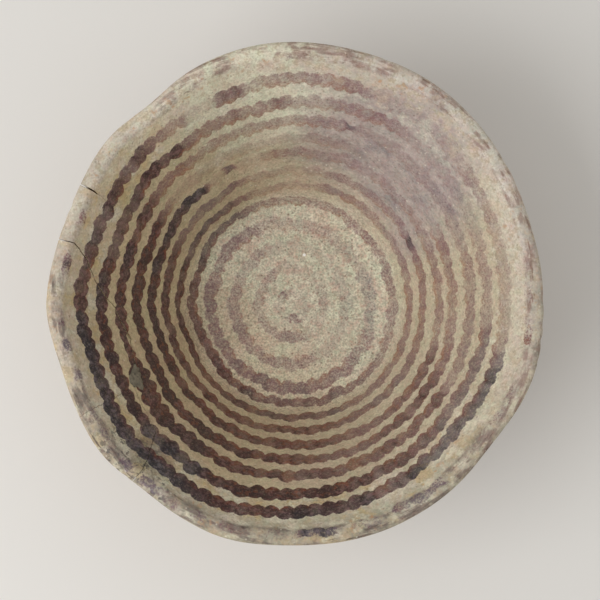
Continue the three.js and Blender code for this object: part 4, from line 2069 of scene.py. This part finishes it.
@dataclass
class Chip:
    """A chip knocked out of the wall on the break. The values set here are those of the filled one."""

    line: CoatedLine
    hand: HandForm
    at: float = 207.0
    place: float = 74.0 * MM
    half_length: float = 4.4 * MM
    half_width: float = 3.4 * MM
    half_depth: float = 0.8 * MM
    sunk: float = 0.42 * MM
    corners: float = 0.22
    shear: float = 0.22
    lump: float = 0.28 * MM
    lump_size: float = 1.3 * MM
    slit: float = 2.2 * MM
    clearance: float = 0.12 * MM
    detail: int = 5

    def shield(self, name: str, grow: float, slit: float) -> bpy.types.Object:
        """A lumpy three-cornered shield that lies in the wall on the break.

        Args:
            name: The piece's name.
            grow: How much larger it is all round.
            slit: How much further it reaches at its lower end.

        Returns:
            The piece.
        """
        bm = bmesh.new()
        bmesh.ops.create_icosphere(bm, subdivisions=self.detail, radius=1.0)
        middle = self.line.round_point(self.at, self.place, self.sunk)
        turn = math.radians(self.at)
        tangent = self.line.tangent(self.place)
        along = Vector((-math.sin(turn), math.cos(turn), 0.0))
        upward = swung(tangent.x, turn, tangent.y)
        outward = along.cross(upward)
        for vert in bm.verts:
            unit = vert.co.copy()
            direction = math.atan2(unit.y, unit.x)
            reach = 1.0 + self.corners * math.cos(3.0 * (direction - math.pi / 2.0))
            local = Vector(
                (
                    unit.x * (self.half_length * reach + grow),
                    unit.y * (self.half_width * reach + grow),
                    unit.z * (self.half_depth + grow),
                )
            )
            local.x -= slit * smooth_step(0.6, 1.0, -unit.x)
            local.y += self.shear * local.x
            local += unit * noise.noise(local / self.lump_size) * self.lump
            point = middle + along * local.x + upward * local.y + outward * local.z
            vert.co = self.hand.shape(point)
        return as_piece(name, bm)

    def pocket(self) -> bpy.types.Object:
        """The cutter for the chip, with the slit that runs on from its lower end."""
        return self.shield("chip_pocket", self.clearance, self.slit)

    def fill(self, finish: FillerFinish) -> None:
        """Presses a lump of filler into the chip and hands it over."""
        lump = self.shield("filler_lump", 0.0, 0.0)
        hand_over(lump, "crack_filler", finish.material())


@dataclass
class Studio:
    """A pale floor, soft light from the left and the camera above the bowl."""

    floor_size: float = 3.0
    floor_colour: Colour = srgb(226, 224, 220)
    floor_shade: Colour = srgb(220, 218, 214)
    floor_cloud: float = 0.25
    floor_roughness: float = 0.9
    camera_at: tuple[float, float, float] = (-16.0 * MM, -34.0 * MM, 664.0 * MM)
    aim: tuple[float, float, float] = (1.2 * MM, -1.5 * MM, 64.0 * MM)
    lens: float = 120.0
    sensor: float = 36.0
    nearest: float = 0.01
    key_from: float = 203.0
    key_height: float = 46.0
    key_distance: float = 0.9
    key_size: float = 0.65
    key_power: float = 4.8
    key_lift: float = 0.05
    sky: float = 0.6
    sky_colour: Colour = (1.0, 0.985, 0.96, 1.0)

    def build(self) -> None:
        """Sets the stage, the lights and the camera."""
        self.build_floor()
        self.build_light()
        self.build_camera()

    def build_floor(self) -> None:
        """Lays the pale floor under the bowl."""
        bm = bmesh.new()
        bmesh.ops.create_grid(bm, x_segments=1, y_segments=1, size=self.floor_size / 2.0)
        floor = as_piece("studio_floor", bm)
        material = bpy.data.materials.new("pale_floor")
        material.use_nodes = True
        bench = Bench(material.node_tree)
        shader = material.node_tree.nodes["Principled BSDF"]
        vector = bench.read("ShaderNodeTexCoord", {}, "Object")
        shade = vector.clouds(self.floor_cloud, 2.0).rise(0.3, 0.7, 0.25)
        bench.feed(shader.inputs["Base Color"], shade.blend(self.floor_colour, self.floor_shade))
        shader.inputs["Roughness"].default_value = self.floor_roughness
        floor.data.materials.append(material)

    def build_light(self) -> None:
        """Hangs one large soft lamp at the left under an even pale sky."""
        lamp = bpy.data.lights.new("left_softbox", "AREA")
        lamp.energy = self.key_power
        lamp.size = self.key_size
        turn, tilt = math.radians(self.key_from), math.radians(self.key_height)
        direction = swung(math.cos(tilt), turn, math.sin(tilt))
        softbox = bpy.data.objects.new("left_softbox", lamp)
        softbox.location = direction * self.key_distance + Vector((0.0, 0.0, self.key_lift))
        softbox.rotation_euler = direction.to_track_quat("Z", "Y").to_euler()
        bpy.context.scene.collection.objects.link(softbox)
        world = bpy.data.worlds.new("even_sky")
        world.use_nodes = True
        background = world.node_tree.nodes["Background"]
        background.inputs["Color"].default_value = self.sky_colour
        background.inputs["Strength"].default_value = self.sky
        bpy.context.scene.world = world

    def build_camera(self) -> None:
        """Puts the camera above the bowl, a little below and left of its middle in the view."""
        lens = bpy.data.cameras.new("camera")
        lens.lens = self.lens
        lens.sensor_width = self.sensor
        lens.clip_start = self.nearest
        camera = bpy.data.objects.new("camera", lens)
        backward = (Vector(self.camera_at) - Vector(self.aim)).normalized()
        right = Vector((0.0, 1.0, 0.0)).cross(backward).normalized()
        upward = backward.cross(right)
        turn = Matrix((right, upward, backward)).transposed().to_4x4()
        camera.matrix_world = Matrix.Translation(self.camera_at) @ turn
        bpy.context.scene.collection.objects.link(camera)
        bpy.context.scene.camera = camera
        bpy.context.scene.view_settings.view_transform = "Standard"


def main() -> None:
    """Builds the bowl piece by piece, then the studio."""
    logging.basicConfig(level=logging.INFO, format="%(message)s")
    noise.seed_set(NOISE_SEED)
    line = CoatedLine()
    hand = HandForm(line)
    groups = NodeGroups()
    cutters = Cutters(line, hand)
    filled_chip = Chip(line, hand)
    open_chip = Chip(
        line,
        hand,
        at=195.6,
        place=70.5 * MM,
        half_length=3.0 * MM,
        half_width=1.0 * MM,
        half_depth=0.33 * MM,
        sunk=0.0,
        corners=0.0,
        shear=-0.3,
        lump=0.1 * MM,
        slit=0.6 * MM,
    )
    breaks = BreakSet(
        space=cutters.sherd_space(),
        form=cutters.sherd_form(),
        wedge=cutters.lip_crack(),
        chips=(filled_chip.pocket(), open_chip.pocket()),
    )
    ClayWall(line, hand, ClayFinish(groups)).build(breaks)
    SlipCoat(line, hand, SlipFinish(groups)).build(breaks)
    PaintedRings(line, hand, PaintFinish(groups)).build(breaks)
    filled_chip.fill(FillerFinish(groups))
    breaks.put_away()
    Studio().build()


if __name__ == "__main__":
    main()
